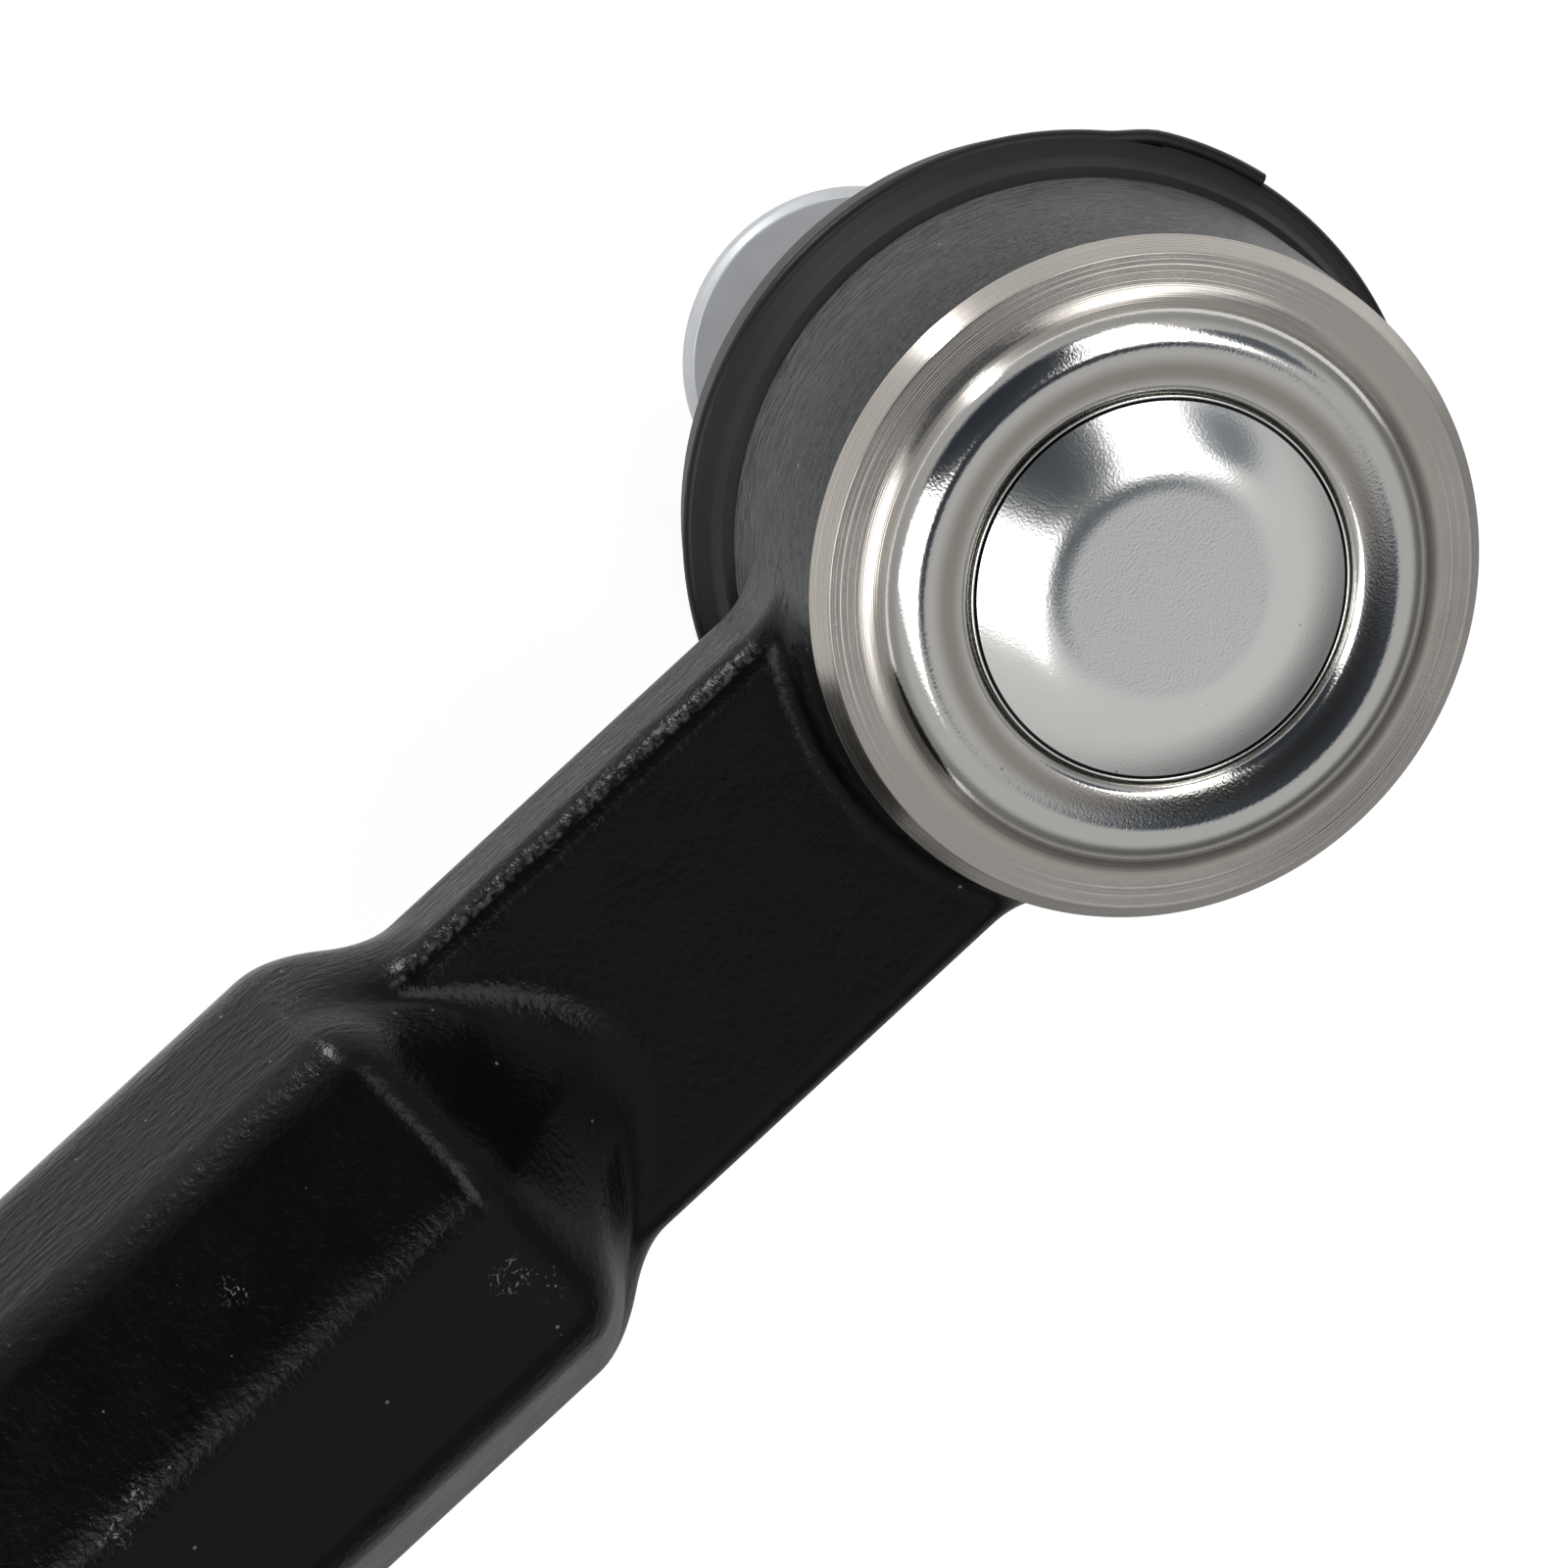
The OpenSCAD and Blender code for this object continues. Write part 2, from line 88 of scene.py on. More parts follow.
def face_camera():
    """Places the camera so that the rim's centre, the face's lean and the shank's direction are as in the photo."""
    upright, leaning = cos_sin(FACE_LEAN)
    right, up = cos_sin(FACE_LEAN_TOWARDS)
    face_out = Vector((leaning * right, leaning * up, upright))
    right, up = cos_sin(SHANK_TOWARDS)
    back = -(face_out.x * right + face_out.y * up) / face_out.z
    along_x = -Vector((right, up, back)).normalized()
    to_camera = Matrix((along_x, face_out.cross(along_x), face_out)).transposed()
    pixels = LENS / SENSOR * PICTURE
    rim = Vector(((RIM_PIXEL[0] - PICTURE / 2) / pixels, -(RIM_PIXEL[1] - PICTURE / 2) / pixels, -1))
    rim *= RIM_DISTANCE * MM
    data = bpy.data.cameras.new("camera")
    data.lens = LENS
    data.sensor_width = SENSOR
    data.clip_start, data.clip_end = CLIP_START, CLIP_END
    camera = new_object("camera", data)
    place = Vector((0, 0, RIM_HEIGHT * MM)) - to_camera.transposed() @ rim
    camera.matrix_world = Matrix.Translation(place) @ to_camera.transposed().to_4x4()
    bpy.context.scene.camera = camera
    bpy.context.scene.view_settings.view_transform = "Standard"


face_camera()

# Studio
# A round white table, a pale room that is darker overhead on the side of the camera, two long soft boxes that
# stand as a V over the face, and a low strip behind. Their mirror images make the pattern on the polished cover.
TABLE_RADIUS = 4.0
TABLE_COLOUR = "#F4F4F2"
TABLE_GLOW = 0.8
TABLE_SHADED = 0.1
TABLE_SHADE_FADE = (-0.03, 0.04)
TABLE_SHADE_LEAN = 0.5
TABLE_DROP = 0.05
ROOM_LEVEL = 0.66
ROOM_HORIZON = 0.36
ROOM_HORIZON_TILT = 0.2
ROOM_FADE = (0.22, 0.62)
ROOM_DARK = 0.05
ROOM_DARK_TINT = (0.72, 0.88, 1.12, 1.0)
WEDGE_MIDDLE = 0.06
WEDGE_SPREAD = 0.3
WEDGE_HALF = 0.28
WEDGE_SIDE_FADE = (-0.04, 0.08)
WEDGE_START_FADE = (-0.36, -0.26)
WEDGE_RISE_FADE = (0.42, 0.60)
SHADE_TOWARD = (0.66, -0.02, 0.75)
SHADE_FADE = (0.973, 0.985)
SHADE_DEPTH = 0.8
BOXES = {
    "soft_box_right": {"place": (0.737, 0.403, 1.25), "along": (0.27, 0.69, -0.33), "size": (1.5, 0.5), "level": 3.5},
    "soft_box_left": {"place": (-0.68, 0.40, 1.27), "along": (-0.34, 0.68, -0.36), "size": (1.5, 0.7), "level": 3.5},
    "strip_behind": {"place": (0.035, 0.45, 0.0), "along": (1, 0, 0), "size": (0.03, 0.125), "level": 66.0},
}


def linear(hex_colour):
    """An sRGB hex colour as linear RGBA."""
    parts = [int(hex_colour[i:i + 2], 16) / 255 for i in (1, 3, 5)]
    return tuple(c / 12.92 if c <= 0.04045 else ((c + 0.055) / 1.055) ** 2.4 for c in parts) + (1.0,)


def add_node(tree, kind, inputs=None, **settings):
    """Adds one node, a shader node where its kind says nothing else. An input that is given a socket, or a node for
    its first socket, is linked to it, and any other input or setting is set."""
    made = tree.nodes.new(kind if "Node" in kind else "ShaderNode" + kind)
    for name, value in settings.items():
        setattr(made, name, value)
    for name, value in (inputs or {}).items():
        if isinstance(value, bpy.types.Node):
            value = value.outputs[0]
        if isinstance(value, bpy.types.NodeSocket):
            tree.links.new(value, made.inputs[name])
        else:
            made.inputs[name].default_value = value
    return made


def new_finish(name):
    """An empty material. Returns it, its node tree, and the coordinates of the piece that wears it."""
    material = bpy.data.materials.new(name)
    material.use_nodes = True
    tree = material.node_tree
    tree.nodes.clear()
    return material, tree, add_node(tree, "TexCoord").outputs["Object"]


def light_the_room():
    """World: greys from the horizon up, with a dark wedge and spot overhead. Every kind of ray sees the same."""
    world = bpy.data.worlds.new("studio_room")
    bpy.context.scene.world = world
    world.use_nodes = True
    tree = world.node_tree
    tree.nodes.clear()
    direction = add_node(tree, "TexCoord").outputs["Generated"]
    x, y, z = add_node(tree, "SeparateXYZ", {0: direction}).outputs
    horizon = add_node(tree, "Math", {0: y, 1: ROOM_HORIZON_TILT, 2: ROOM_HORIZON}, operation="MULTIPLY_ADD")
    height = add_node(tree, "MapRange", {
        "Value": z, "From Min": ROOM_FADE[0], "From Max": ROOM_FADE[1], "To Min": horizon, "To Max": ROOM_LEVEL},
        interpolation_type="SMOOTHSTEP")
    aside = add_node(tree, "Math", {0: x, 1: WEDGE_MIDDLE}, operation="SUBTRACT")
    aside = add_node(tree, "Math", {0: aside}, operation="ABSOLUTE")
    spread = add_node(tree, "Math", {0: y, 1: WEDGE_SPREAD, 2: WEDGE_HALF}, operation="MULTIPLY_ADD")
    inside = add_node(tree, "Math", {0: spread, 1: aside}, operation="SUBTRACT")
    fades = [add_node(tree, "MapRange", {
        "Value": value, "From Min": first, "From Max": last}, interpolation_type="SMOOTHSTEP")
        for value, (first, last) in ((inside, WEDGE_SIDE_FADE), (y, WEDGE_START_FADE), (z, WEDGE_RISE_FADE))]
    wedge = add_node(tree, "Math", {0: fades[0], 1: fades[1]}, operation="MULTIPLY")
    wedge = add_node(tree, "Math", {0: wedge, 1: fades[2]}, operation="MULTIPLY")
    near = add_node(tree, "VectorMath", {0: direction, 1: Vector(SHADE_TOWARD).normalized()}, operation="DOT_PRODUCT")
    near = add_node(tree, "MapRange", {
        "Value": near.outputs["Value"], "From Min": SHADE_FADE[0], "From Max": SHADE_FADE[1],
        "To Max": SHADE_DEPTH}, interpolation_type="SMOOTHSTEP")
    dark = add_node(tree, "Math", {0: wedge, 1: near}, operation="MAXIMUM")
    level = add_node(tree, "Mix", {"Factor": dark, "A": height, "B": ROOM_DARK})
    tint = add_node(tree, "Mix", {"Factor": dark, "A": (1, 1, 1, 1), "B": ROOM_DARK_TINT}, data_type="RGBA")
    background = add_node(tree, "Background", {"Color": tint.outputs["Result"], "Strength": level})
    add_node(tree, "OutputWorld", {"Surface": background})


def set_soft_box(name, place, along, size, level):
    """An area lamp of a given brightness that faces the object and that the camera doesn't see."""
    data = bpy.data.lights.new(name, "AREA")
    data.shape = "RECTANGLE"
    data.size, data.size_y = size
    data.energy = level * math.pi * size[0] * size[1]
    lamp = new_object(name, data)
    back = Vector(place).normalized()
    side = Vector(along)
    side = (side - back * side.dot(back)).normalized()
    turn = Matrix((side, back.cross(side), back)).transposed().to_4x4()
    lamp.matrix_world = Matrix.Translation(place) @ turn
    lamp.visible_camera = False


def lay_table():
    """Table disc just under the stud. It glows white to the camera and still takes the shadow. Mirrored in the steel
    it is bright only toward +Y, since the photo's reflections of it are dark on the other side."""
    bm = bmesh.new()
    bmesh.ops.create_circle(bm, cap_ends=True, segments=96, radius=TABLE_RADIUS)
    mesh = bpy.data.meshes.new("table")
    bm.to_mesh(mesh)
    bm.free()
    table = new_object("table", mesh)
    table.location.z = cad_low.z - TABLE_DROP * MM
    material, tree, place = new_finish("white_table")
    path = add_node(tree, "LightPath")
    seen = add_node(tree, "Math", {
        0: path.outputs["Is Camera Ray"], 1: path.outputs["Is Glossy Ray"]}, operation="ADD")
    seen = add_node(tree, "Math", {0: seen, 1: path.outputs["Is Transmission Ray"]}, operation="ADD", use_clamp=True)
    paper = add_node(tree, "BsdfDiffuse", {"Color": linear(TABLE_COLOUR)})
    x, y, z = add_node(tree, "SeparateXYZ", {0: place}).outputs
    aside = add_node(tree, "Math", {0: x}, operation="ABSOLUTE")
    off = add_node(tree, "Math", {0: aside, 1: TABLE_SHADE_LEAN, 2: y}, operation="MULTIPLY_ADD")
    level = add_node(tree, "MapRange", {
        "Value": off, "From Min": TABLE_SHADE_FADE[0], "From Max": TABLE_SHADE_FADE[1], "To Min": TABLE_SHADED,
        "To Max": TABLE_GLOW})
    level = add_node(tree, "Mix", {"Factor": path.outputs["Is Camera Ray"], "A": level, "B": TABLE_GLOW})
    glow = add_node(tree, "Emission", {"Color": (1, 1, 1, 1), "Strength": level})
    thin = add_node(tree, "BsdfDiffuse", {"Color": (0.3, 0.3, 0.3, 1)})
    shown = add_node(tree, "AddShader", {0: glow, 1: thin})
    mixed = add_node(tree, "MixShader", {0: seen, 1: paper, 2: shown})
    add_node(tree, "OutputMaterial", {"Surface": mixed})
    mesh.materials.append(material)


light_the_room()
for name, box in BOXES.items():
    set_soft_box(name, **box)
lay_table()

# Housing
# One steel forging, shot blasted and dipped in black paint: a round cup, a flat web and an eight-sided shank with
# a tapped bore. After painting, the cup's face is turned bare and its lip is rolled in over the cover.
FACE_R = 20.0
CUP_R = 20.5
CHAMFER_W = 0.85
FACE_Z = 9.75
RIM_Z = 8.5
RING_IN_R = 17.5
COVE_R = 1.45
FOOT_SLOPE = 62
CREST_R = 14.12
FLANK_SLOPE = 6.5
LIP_IN_R = 11.4
LIP_IN_SLOPE = 9
LIP_EDGE_R = 0.8
PLATE_TOP = 10.6
SHELF_Z = 9.4
PLATE_R = 14.85
CAVITY_R = 14.1
FLOOR_Z = -5.99
THROAT_R = 11.02
MOUTH_R = 15.17
BASE_Z = -13.49
GROOVE_TOP = -6.59
GROOVE_LOW = -11.59
GROOVE_R = 18.3
FOOT_R = 19.6
WEB_W = 23.4
WEB_T = 8.0
WEB_EDGE_R = 2.0
WEB_FILLET_R = 6.0
ROOT_FILLET_R = 1.6
SHANK_AF = 29.7
SHANK_CORNER_R = 5.7
SHANK_ROLL = 13.0
SHANK_END = 112.0
RAMP_START = 38.5
RAMP_SIDE_LAG = 4.8
RAMP_EDGE_LAG = 4.6
RAMP_END = 52.4
RAMP_SIDE_END = 1.6
RAMP_KNEE = 0.74
RAMP_SIDE_KNEE = 0.5
END_CHAMFER = 1.2
BORE_R = 9.19
BORE_ROOT_R = 10.0
BORE_PITCH = 1.5
BORE_DEPTH = 50.0
ROLLER_BANDS = ((12.75, 0.1, 1.0, "#9B968F"),)
SCUFFS = (((-53.5, -2.5, 14.7), 1.6), ((-52.1, -4.6, 14.2), 1.4), ((-77.1, 3.2, 15.1), 1.4),
          ((-79.5, 2.8, 15.2), 1.5), ((-65.3, 7.6, 13.0), 1.2))
HOLD_OVER = 0.8
HOLD_AT = 0.12
WEB_STATIONS = (29, 31, 33, 35, 37)
RAMP_STEP = 0.4
SHANK_STATIONS = (58, 60, 70, 85, 100)
DRILL_SLOPE = 31
SLACK = 0.02
LIP_FROM_RING = 1.35
LIP_ABOVE_FACE = 0.4


def arc(x, z, r, start, end, steps):
    """Points round (x, z), from one slope to another. A slope is that of the surface, in degrees from level."""
    turns = [cos_sin(start + (end - start) * i / steps) for i in range(steps + 1)]
    return [(x + r * s, z + r * c, 0) for c, s in turns]


def rounded(outline, closed, steps=5):
    """Outline of (radius, height, corner radius) as plain points: corners become arcs, and long stretches get
    a point near each end, so that smooth shading keeps flats flat."""
    corners = []
    count = len(outline)
    for i, (x, z, r) in enumerate(outline):
        here = np.array((x, z))
        if r == 0 or (not closed and i in (0, count - 1)):
            corners.append(here)
            continue
        before = np.array(outline[i - 1][:2]) - here
        after = np.array(outline[(i + 1) % count][:2]) - here
        before /= np.linalg.norm(before)
        after /= np.linalg.norm(after)
        half = math.acos(max(-1, min(1, before @ after))) / 2
        centre = here + (before + after) / np.linalg.norm(before + after) * r / math.sin(half)
        first = here + before * r / math.tan(half) - centre
        last = here + after * r / math.tan(half) - centre
        turn = math.atan2(first[0] * last[1] - first[1] * last[0], first @ last)
        for k in range(steps + 1):
            c, s = math.cos(turn * k / steps), math.sin(turn * k / steps)
            corners.append(centre + np.array((c * first[0] - s * first[1], s * first[0] + c * first[1])))
    held = []
    for i, here in enumerate(corners):
        held.append(here)
        if i == len(corners) - 1 and not closed:
            break
        step = corners[(i + 1) % len(corners)] - here
        length = np.linalg.norm(step)
        if length > HOLD_OVER:
            held += [here + step * HOLD_AT / length, here + step * (1 - HOLD_AT / length)]
    return np.array(held)


def spin(outline, closed=False, steps=192):
    """Solid of revolution about Z: points and faces of an outline that starts and ends on the axis, or is closed."""
    section = rounded(outline, closed)
    angles = np.arange(steps) * 2 * math.pi / steps
    points = np.stack([np.outer(np.cos(angles), section[:, 0]), np.outer(np.sin(angles), section[:, 0]),
                       np.broadcast_to(section[:, 1], (steps, len(section)))], -1).reshape(-1, 3)
    n = len(section)
    along = range(n if closed else n - 1)
    faces = [(j * n + i, ((j + 1) % steps) * n + i, ((j + 1) % steps) * n + (i + 1) % n, j * n + (i + 1) % n)
             for j in range(steps) for i in along]
    return points, faces


def dress(mesh, sharp):
    """Merges doubles, turns the normals outwards and smooths the faces between edges sharper than an angle."""
    bm = bmesh.new()
    bm.from_mesh(mesh)
    bmesh.ops.remove_doubles(bm, verts=bm.verts, dist=1e-7)
    bmesh.ops.dissolve_degenerate(bm, dist=1e-8, edges=bm.edges)
    bmesh.ops.recalc_face_normals(bm, faces=bm.faces)
    bm.to_mesh(mesh)
    bm.free()
    mesh.shade_smooth()
    mesh.set_sharp_from_angle(angle=math.radians(sharp))


def make_piece(name, points, faces, sharp=32):
    """Mesh object from points in millimetres."""
    mesh = bpy.data.meshes.new(name)
    mesh.from_pydata([tuple(p) for p in np.asarray(points, float) * MM], [], faces)
    dress(mesh, sharp)
    return new_object(name, mesh)


def new_rule(name, **sockets):
    """An empty Geometry Nodes tree with named inputs, such as Pitch="Float". Returns it and its inputs."""
    tree = bpy.data.node_groups.new(name, "GeometryNodeTree")
    for label, kind in sockets.items():
        tree.interface.new_socket(label, in_out="INPUT", socket_type="NodeSocket" + kind)
    tree.interface.new_socket("Piece", in_out="OUTPUT", socket_type="NodeSocketGeometry")
    return tree, add_node(tree, "NodeGroupInput").outputs


def end_rule(tree, geometry, material):
    """Closes a tree: instances become real, and the material is set."""
    real = add_node(tree, "GeometryNodeRealizeInstances", {0: geometry})
    dressed = add_node(tree, "GeometryNodeSetMaterial", {"Geometry": real, "Material": material})
    add_node(tree, "NodeGroupOutput", {0: dressed})
    return tree


def keep_result(piece):
    """Makes the result of a piece's modifier its mesh, removes the modifier, and returns the mesh."""
    made = bpy.data.meshes.new_from_object(piece.evaluated_get(bpy.context.evaluated_depsgraph_get()))
    piece.modifiers.clear()
    piece.data = made
    return made


def run_rule(name, tree, sharp=32, **values):
    """Plain mesh object from a tree and the values of its inputs."""
    piece = new_object(name, bpy.data.meshes.new(name))
    modifier = piece.modifiers.new("rule", "NODES")
    modifier.node_group = tree
    for socket in tree.interface.items_tree:
        if socket.in_out == "INPUT":
            modifier[socket.identifier] = values[socket.name]
    dress(keep_result(piece), sharp)
    return piece


def weld(mesh):
    """Merges the points that a cut left on top of each other, and drops the folded pairs of faces between them."""
    bm = bmesh.new()
    bm.from_mesh(mesh)
    bmesh.ops.triangulate(bm, faces=bm.faces[:])
    bmesh.ops.remove_doubles(bm, verts=bm.verts[:], dist=0.001 * MM)
    pairs = {}
    for face in bm.faces:
        pairs.setdefault(frozenset(face.verts), []).append(face)
    folded = [face for group in pairs.values() if len(group) > 1 for face in group]
    bmesh.ops.delete(bm, geom=folded, context="FACES_KEEP_BOUNDARY")
    bmesh.ops.delete(bm, geom=[v for v in bm.verts if not v.link_faces], context="VERTS")
    bm.to_mesh(mesh)
    bm.free()


def combine(piece, other, operation, sharp=32):
    """Joins another closed piece to this one, or cuts it out, and removes the other."""
    modifier = piece.modifiers.new(operation.lower(), "BOOLEAN")
    modifier.operation = operation
    modifier.object = other
    modifier.solver = "MANIFOLD"
    made = keep_result(piece)
    weld(made)
    made.shade_smooth()
    made.set_sharp_from_angle(angle=math.radians(sharp))
    bpy.data.objects.remove(other)
    return piece


def plate_edge(a, half_w, half_t, r):
    """Distance from the shank's axis to the edge of a rounded rectangle, in the direction a."""
    c, s = np.abs(np.cos(a)), np.abs(np.sin(a))
    flat = np.minimum(half_w / np.maximum(c, 1e-6), half_t / np.maximum(s, 1e-6))
    cx, cz = half_w - r, half_t - r
    d = c * cx + s * cz
    corner = d + np.sqrt(np.maximum(0, d * d - cx * cx - cz * cz + r * r))
    return np.where((flat * c > cx) & (flat * s > cz), corner, flat)


def octagon_edge(a, af, r):
    """The same for the rolled octagon with rounded corners."""
    eighth = math.pi / 4
    turn = a - math.pi / 2 - math.radians(SHANK_ROLL)
    off = np.abs(turn - eighth * np.round(turn / eighth))
    cx, cy = af / 2 - r, (af / 2 - r) * math.tan(eighth / 2)
    d = np.cos(off) * cx + np.sin(off) * cy
    corner = d + np.sqrt(np.maximum(0, d * d - cx * cx - cy * cy + r * r))
    return np.where(af / 2 * np.tan(off) < cy, af / 2 / np.cos(off), corner)


def ramp(u, knee):
    """Slope from the web up to the shank: hollow up to the knee, then a round shoulder."""
    u = np.clip(u, 0, 1)
    return np.where(u < knee, u * u / knee, 1 - (1 - u) ** 2 / (1 - knee))


def forging_arm():
    """Web and shank as one closed loft along -X, which starts inside the cup's wall."""
    near = np.arange(13.0, 27.0, 0.35)
    slope = np.arange(RAMP_START - 1, RAMP_END + RAMP_SIDE_END + 1, RAMP_STEP)
    xs = np.concatenate([near, WEB_STATIONS, slope, SHANK_STATIONS, [
        SHANK_END - END_CHAMFER - 0.3, SHANK_END - END_CHAMFER, SHANK_END - END_CHAMFER / 2, SHANK_END]])
    walk = np.linspace(0, 2 * math.pi, 2881)
    edge = plate_edge(walk, WEB_W / 2, WEB_T / 2, WEB_EDGE_R)
    steps = np.hypot(np.diff(edge * np.cos(walk)), np.diff(edge * np.sin(walk)))
    length = np.concatenate([[0], np.cumsum(steps)])
    even = np.interp(np.linspace(0, length[-1], 181)[:-1], length, walk)
    a = np.sort(np.concatenate([even, np.arange(120) * math.pi / 60 + 0.001]))
    fillet_x = math.sqrt((CUP_R + WEB_FILLET_R - 0.2) ** 2 - (WEB_W / 2 + WEB_FILLET_R) ** 2)
    tangent_x = fillet_x * CUP_R / (CUP_R + WEB_FILLET_R)
    rings = []
    for x in xs:
        flare = max(0, fillet_x - max(x, tangent_x))
        half_w = WEB_W / 2 + WEB_FILLET_R - math.sqrt(WEB_FILLET_R ** 2 - flare ** 2)
        thin = plate_edge(a, half_w, WEB_T / 2, WEB_EDGE_R)
        across = np.abs(thin * np.cos(a)) / half_w
        up = np.abs(thin * np.sin(a)) / (WEB_T / 2)
        start = RAMP_START + RAMP_SIDE_LAG * across ** 2 + RAMP_EDGE_LAG * (across * up) ** 2
        end = RAMP_END + RAMP_SIDE_END * across ** 2
        k = ramp((x - start) / (end - start), RAMP_KNEE + (RAMP_SIDE_KNEE - RAMP_KNEE) * across ** 2)
        af = SHANK_AF - 2 * max(0, x - SHANK_END + END_CHAMFER)
        r = thin + k * (octagon_edge(a, af, SHANK_CORNER_R) - thin)
        y, z = r * np.cos(a), r * np.sin(a)
        wall = FACE_R + (CUP_R - FACE_R) * (RIM_Z - z) / (RIM_Z - GROOVE_TOP)
        gap = np.clip(ROOT_FILLET_R - (np.hypot(x, y) - wall), 0, ROOT_FILLET_R)
        rise = ROOT_FILLET_R - np.sqrt(ROOT_FILLET_R ** 2 - gap ** 2)
        on_face = np.clip((up - 0.5) * 2, 0, 1)
        rings.append(np.stack([np.full_like(a, -x), y, z + np.sign(z) * rise * on_face], -1))
    n, m = len(a), len(xs)
    points = np.concatenate([np.concatenate(rings), [[-xs[0], 0, 0], [-xs[-1], 0, 0]]])
    faces = [(j * n + i, j * n + (i + 1) % n, (j + 1) * n + (i + 1) % n, (j + 1) * n + i)
             for j in range(m - 1) for i in range(n)]
    faces += [(m * n, (i + 1) % n, i) for i in range(n)]
    faces += [(m * n + 1, (m - 1) * n + i, (m - 1) * n + (i + 1) % n) for i in range(n)]
    return points, faces


def screw_thread():
    """Rule for a closed bar with a screw thread round Z. Crests and roots are flat for an eighth of the pitch, and
    the thread fades to its root over one pitch at both ends."""
    tree, size = new_rule("screw_thread", Root="Float", Crest="Float", Pitch="Float", Start="Float", End="Float",
                          Steps="Int", Rows="Int", Finish="Material")
    grid = add_node(tree, "GeometryNodeMeshGrid", {"Vertices X": size["Steps"], "Vertices Y": size["Rows"]})
    at = add_node(tree, "SeparateXYZ", {0: add_node(tree, "GeometryNodeInputPosition")})
    turn = add_node(tree, "Math", {0: at.outputs["X"], 1: 0.5}, operation="ADD")
    share = add_node(tree, "Math", {0: at.outputs["Y"], 1: 0.5}, operation="ADD")
    last = add_node(tree, "Math", {0: size["Rows"], 1: 1.0}, operation="SUBTRACT")
    row = add_node(tree, "Math", {0: share, 1: last}, operation="MULTIPLY")
    top_row = add_node(tree, "Math", {0: last, 1: 1.0}, operation="SUBTRACT")
    z = add_node(tree, "MapRange", {
        "Value": row, "From Min": 1.0, "From Max": top_row, "To Min": size["Start"], "To Max": size["End"]})
    phase = add_node(tree, "Math", {0: z, 1: size["Pitch"]}, operation="DIVIDE")
    phase = add_node(tree, "Math", {0: phase, 1: turn}, operation="SUBTRACT")
    phase = add_node(tree, "Math", {0: phase}, operation="FRACT")
    off = add_node(tree, "Math", {0: phase, 1: 0.5}, operation="SUBTRACT")
    off = add_node(tree, "Math", {0: off}, operation="ABSOLUTE")
    height = add_node(tree, "MapRange", {
        "Value": off, "From Min": 0.0625, "From Max": 0.4375, "To Min": 1.0, "To Max": 0.0})
    rise = add_node(tree, "Math", {0: z, 1: size["Start"]}, operation="SUBTRACT")
    rise = add_node(tree, "Math", {0: rise, 1: size["Pitch"]}, operation="DIVIDE", use_clamp=True)
    fall = add_node(tree, "Math", {0: size["End"], 1: z}, operation="SUBTRACT")
    fall = add_node(tree, "Math", {0: fall, 1: size["Pitch"]}, operation="DIVIDE", use_clamp=True)
    fade = add_node(tree, "Math", {0: rise, 1: fall}, operation="MINIMUM")
    height = add_node(tree, "Math", {0: height, 1: fade}, operation="MULTIPLY")
    r = add_node(tree, "MapRange", {"Value": height, "To Min": size["Root"], "To Max": size["Crest"]})
    above = add_node(tree, "Math", {0: row, 1: 0.5}, operation="GREATER_THAN")
    below = add_node(tree, "Math", {0: top_row, 1: 0.5}, operation="ADD")
    below = add_node(tree, "Math", {0: row, 1: below}, operation="LESS_THAN")
    wall = add_node(tree, "Math", {0: above, 1: below}, operation="MULTIPLY")
    r = add_node(tree, "Math", {0: r, 1: wall}, operation="MULTIPLY")
    out = add_node(tree, "CombineXYZ", {0: r, 2: z})
    angle = add_node(tree, "Math", {0: turn, 1: 2 * math.pi}, operation="MULTIPLY")
    place = add_node(tree, "VectorRotate", {"Vector": out, "Angle": angle}, rotation_type="Z_AXIS")
    bar = add_node(tree, "GeometryNodeSetPosition", {"Geometry": grid, "Position": place})
    bar = add_node(tree, "GeometryNodeMergeByDistance", {"Geometry": bar, "Distance": 1e-6})
    return end_rule(tree, bar, size["Finish"])


def cut_thread(name, root, crest, pitch, start, end, steps, rows, finish):
    """Threaded bar in millimetres, with a number of rows for each pitch."""
    return run_rule(name, THREAD, Root=root * MM, Crest=crest * MM, Pitch=pitch * MM, Start=start * MM, End=end * MM,
                    Steps=steps + 1, Rows=int((end - start) / pitch * rows) + 3, Finish=finish)


def shank_bore():
    """Cutter for the tapped bore: the thread, a plain drill point and a countersink, turned to lie along -X."""
    floor = SHANK_END - BORE_DEPTH
    bar = cut_thread("bore_thread", BORE_R, BORE_ROOT_R, BORE_PITCH, floor + 4, SHANK_END + BORE_PITCH, 72, 8, TURNED)
    bar.data.transform(Matrix(((0, 0, -1), (0, 1, 0), (1, 0, 0))).to_4x4())
    drill = [(0, floor - BORE_R * math.tan(math.radians(DRILL_SLOPE)), 0), (BORE_R - 0.05, floor, 0),
             (BORE_R - 0.05, floor + 5, 0), (0, floor + 5, 0)]
    sink = [(0, SHANK_END - 2, 0), (BORE_R - 0.8, SHANK_END - 2, 0), (BORE_ROOT_R + 1.6, SHANK_END + 0.4, 0),
            (0, SHANK_END + 0.4, 0)]
    for name, outline in (("bore_drill", drill), ("bore_sink", sink)):
        points, faces = spin(outline, steps=72)
        combine(bar, make_piece(name, points[:, [2, 1, 0]] * (-1, 1, 1), faces), "UNION")
    return bar


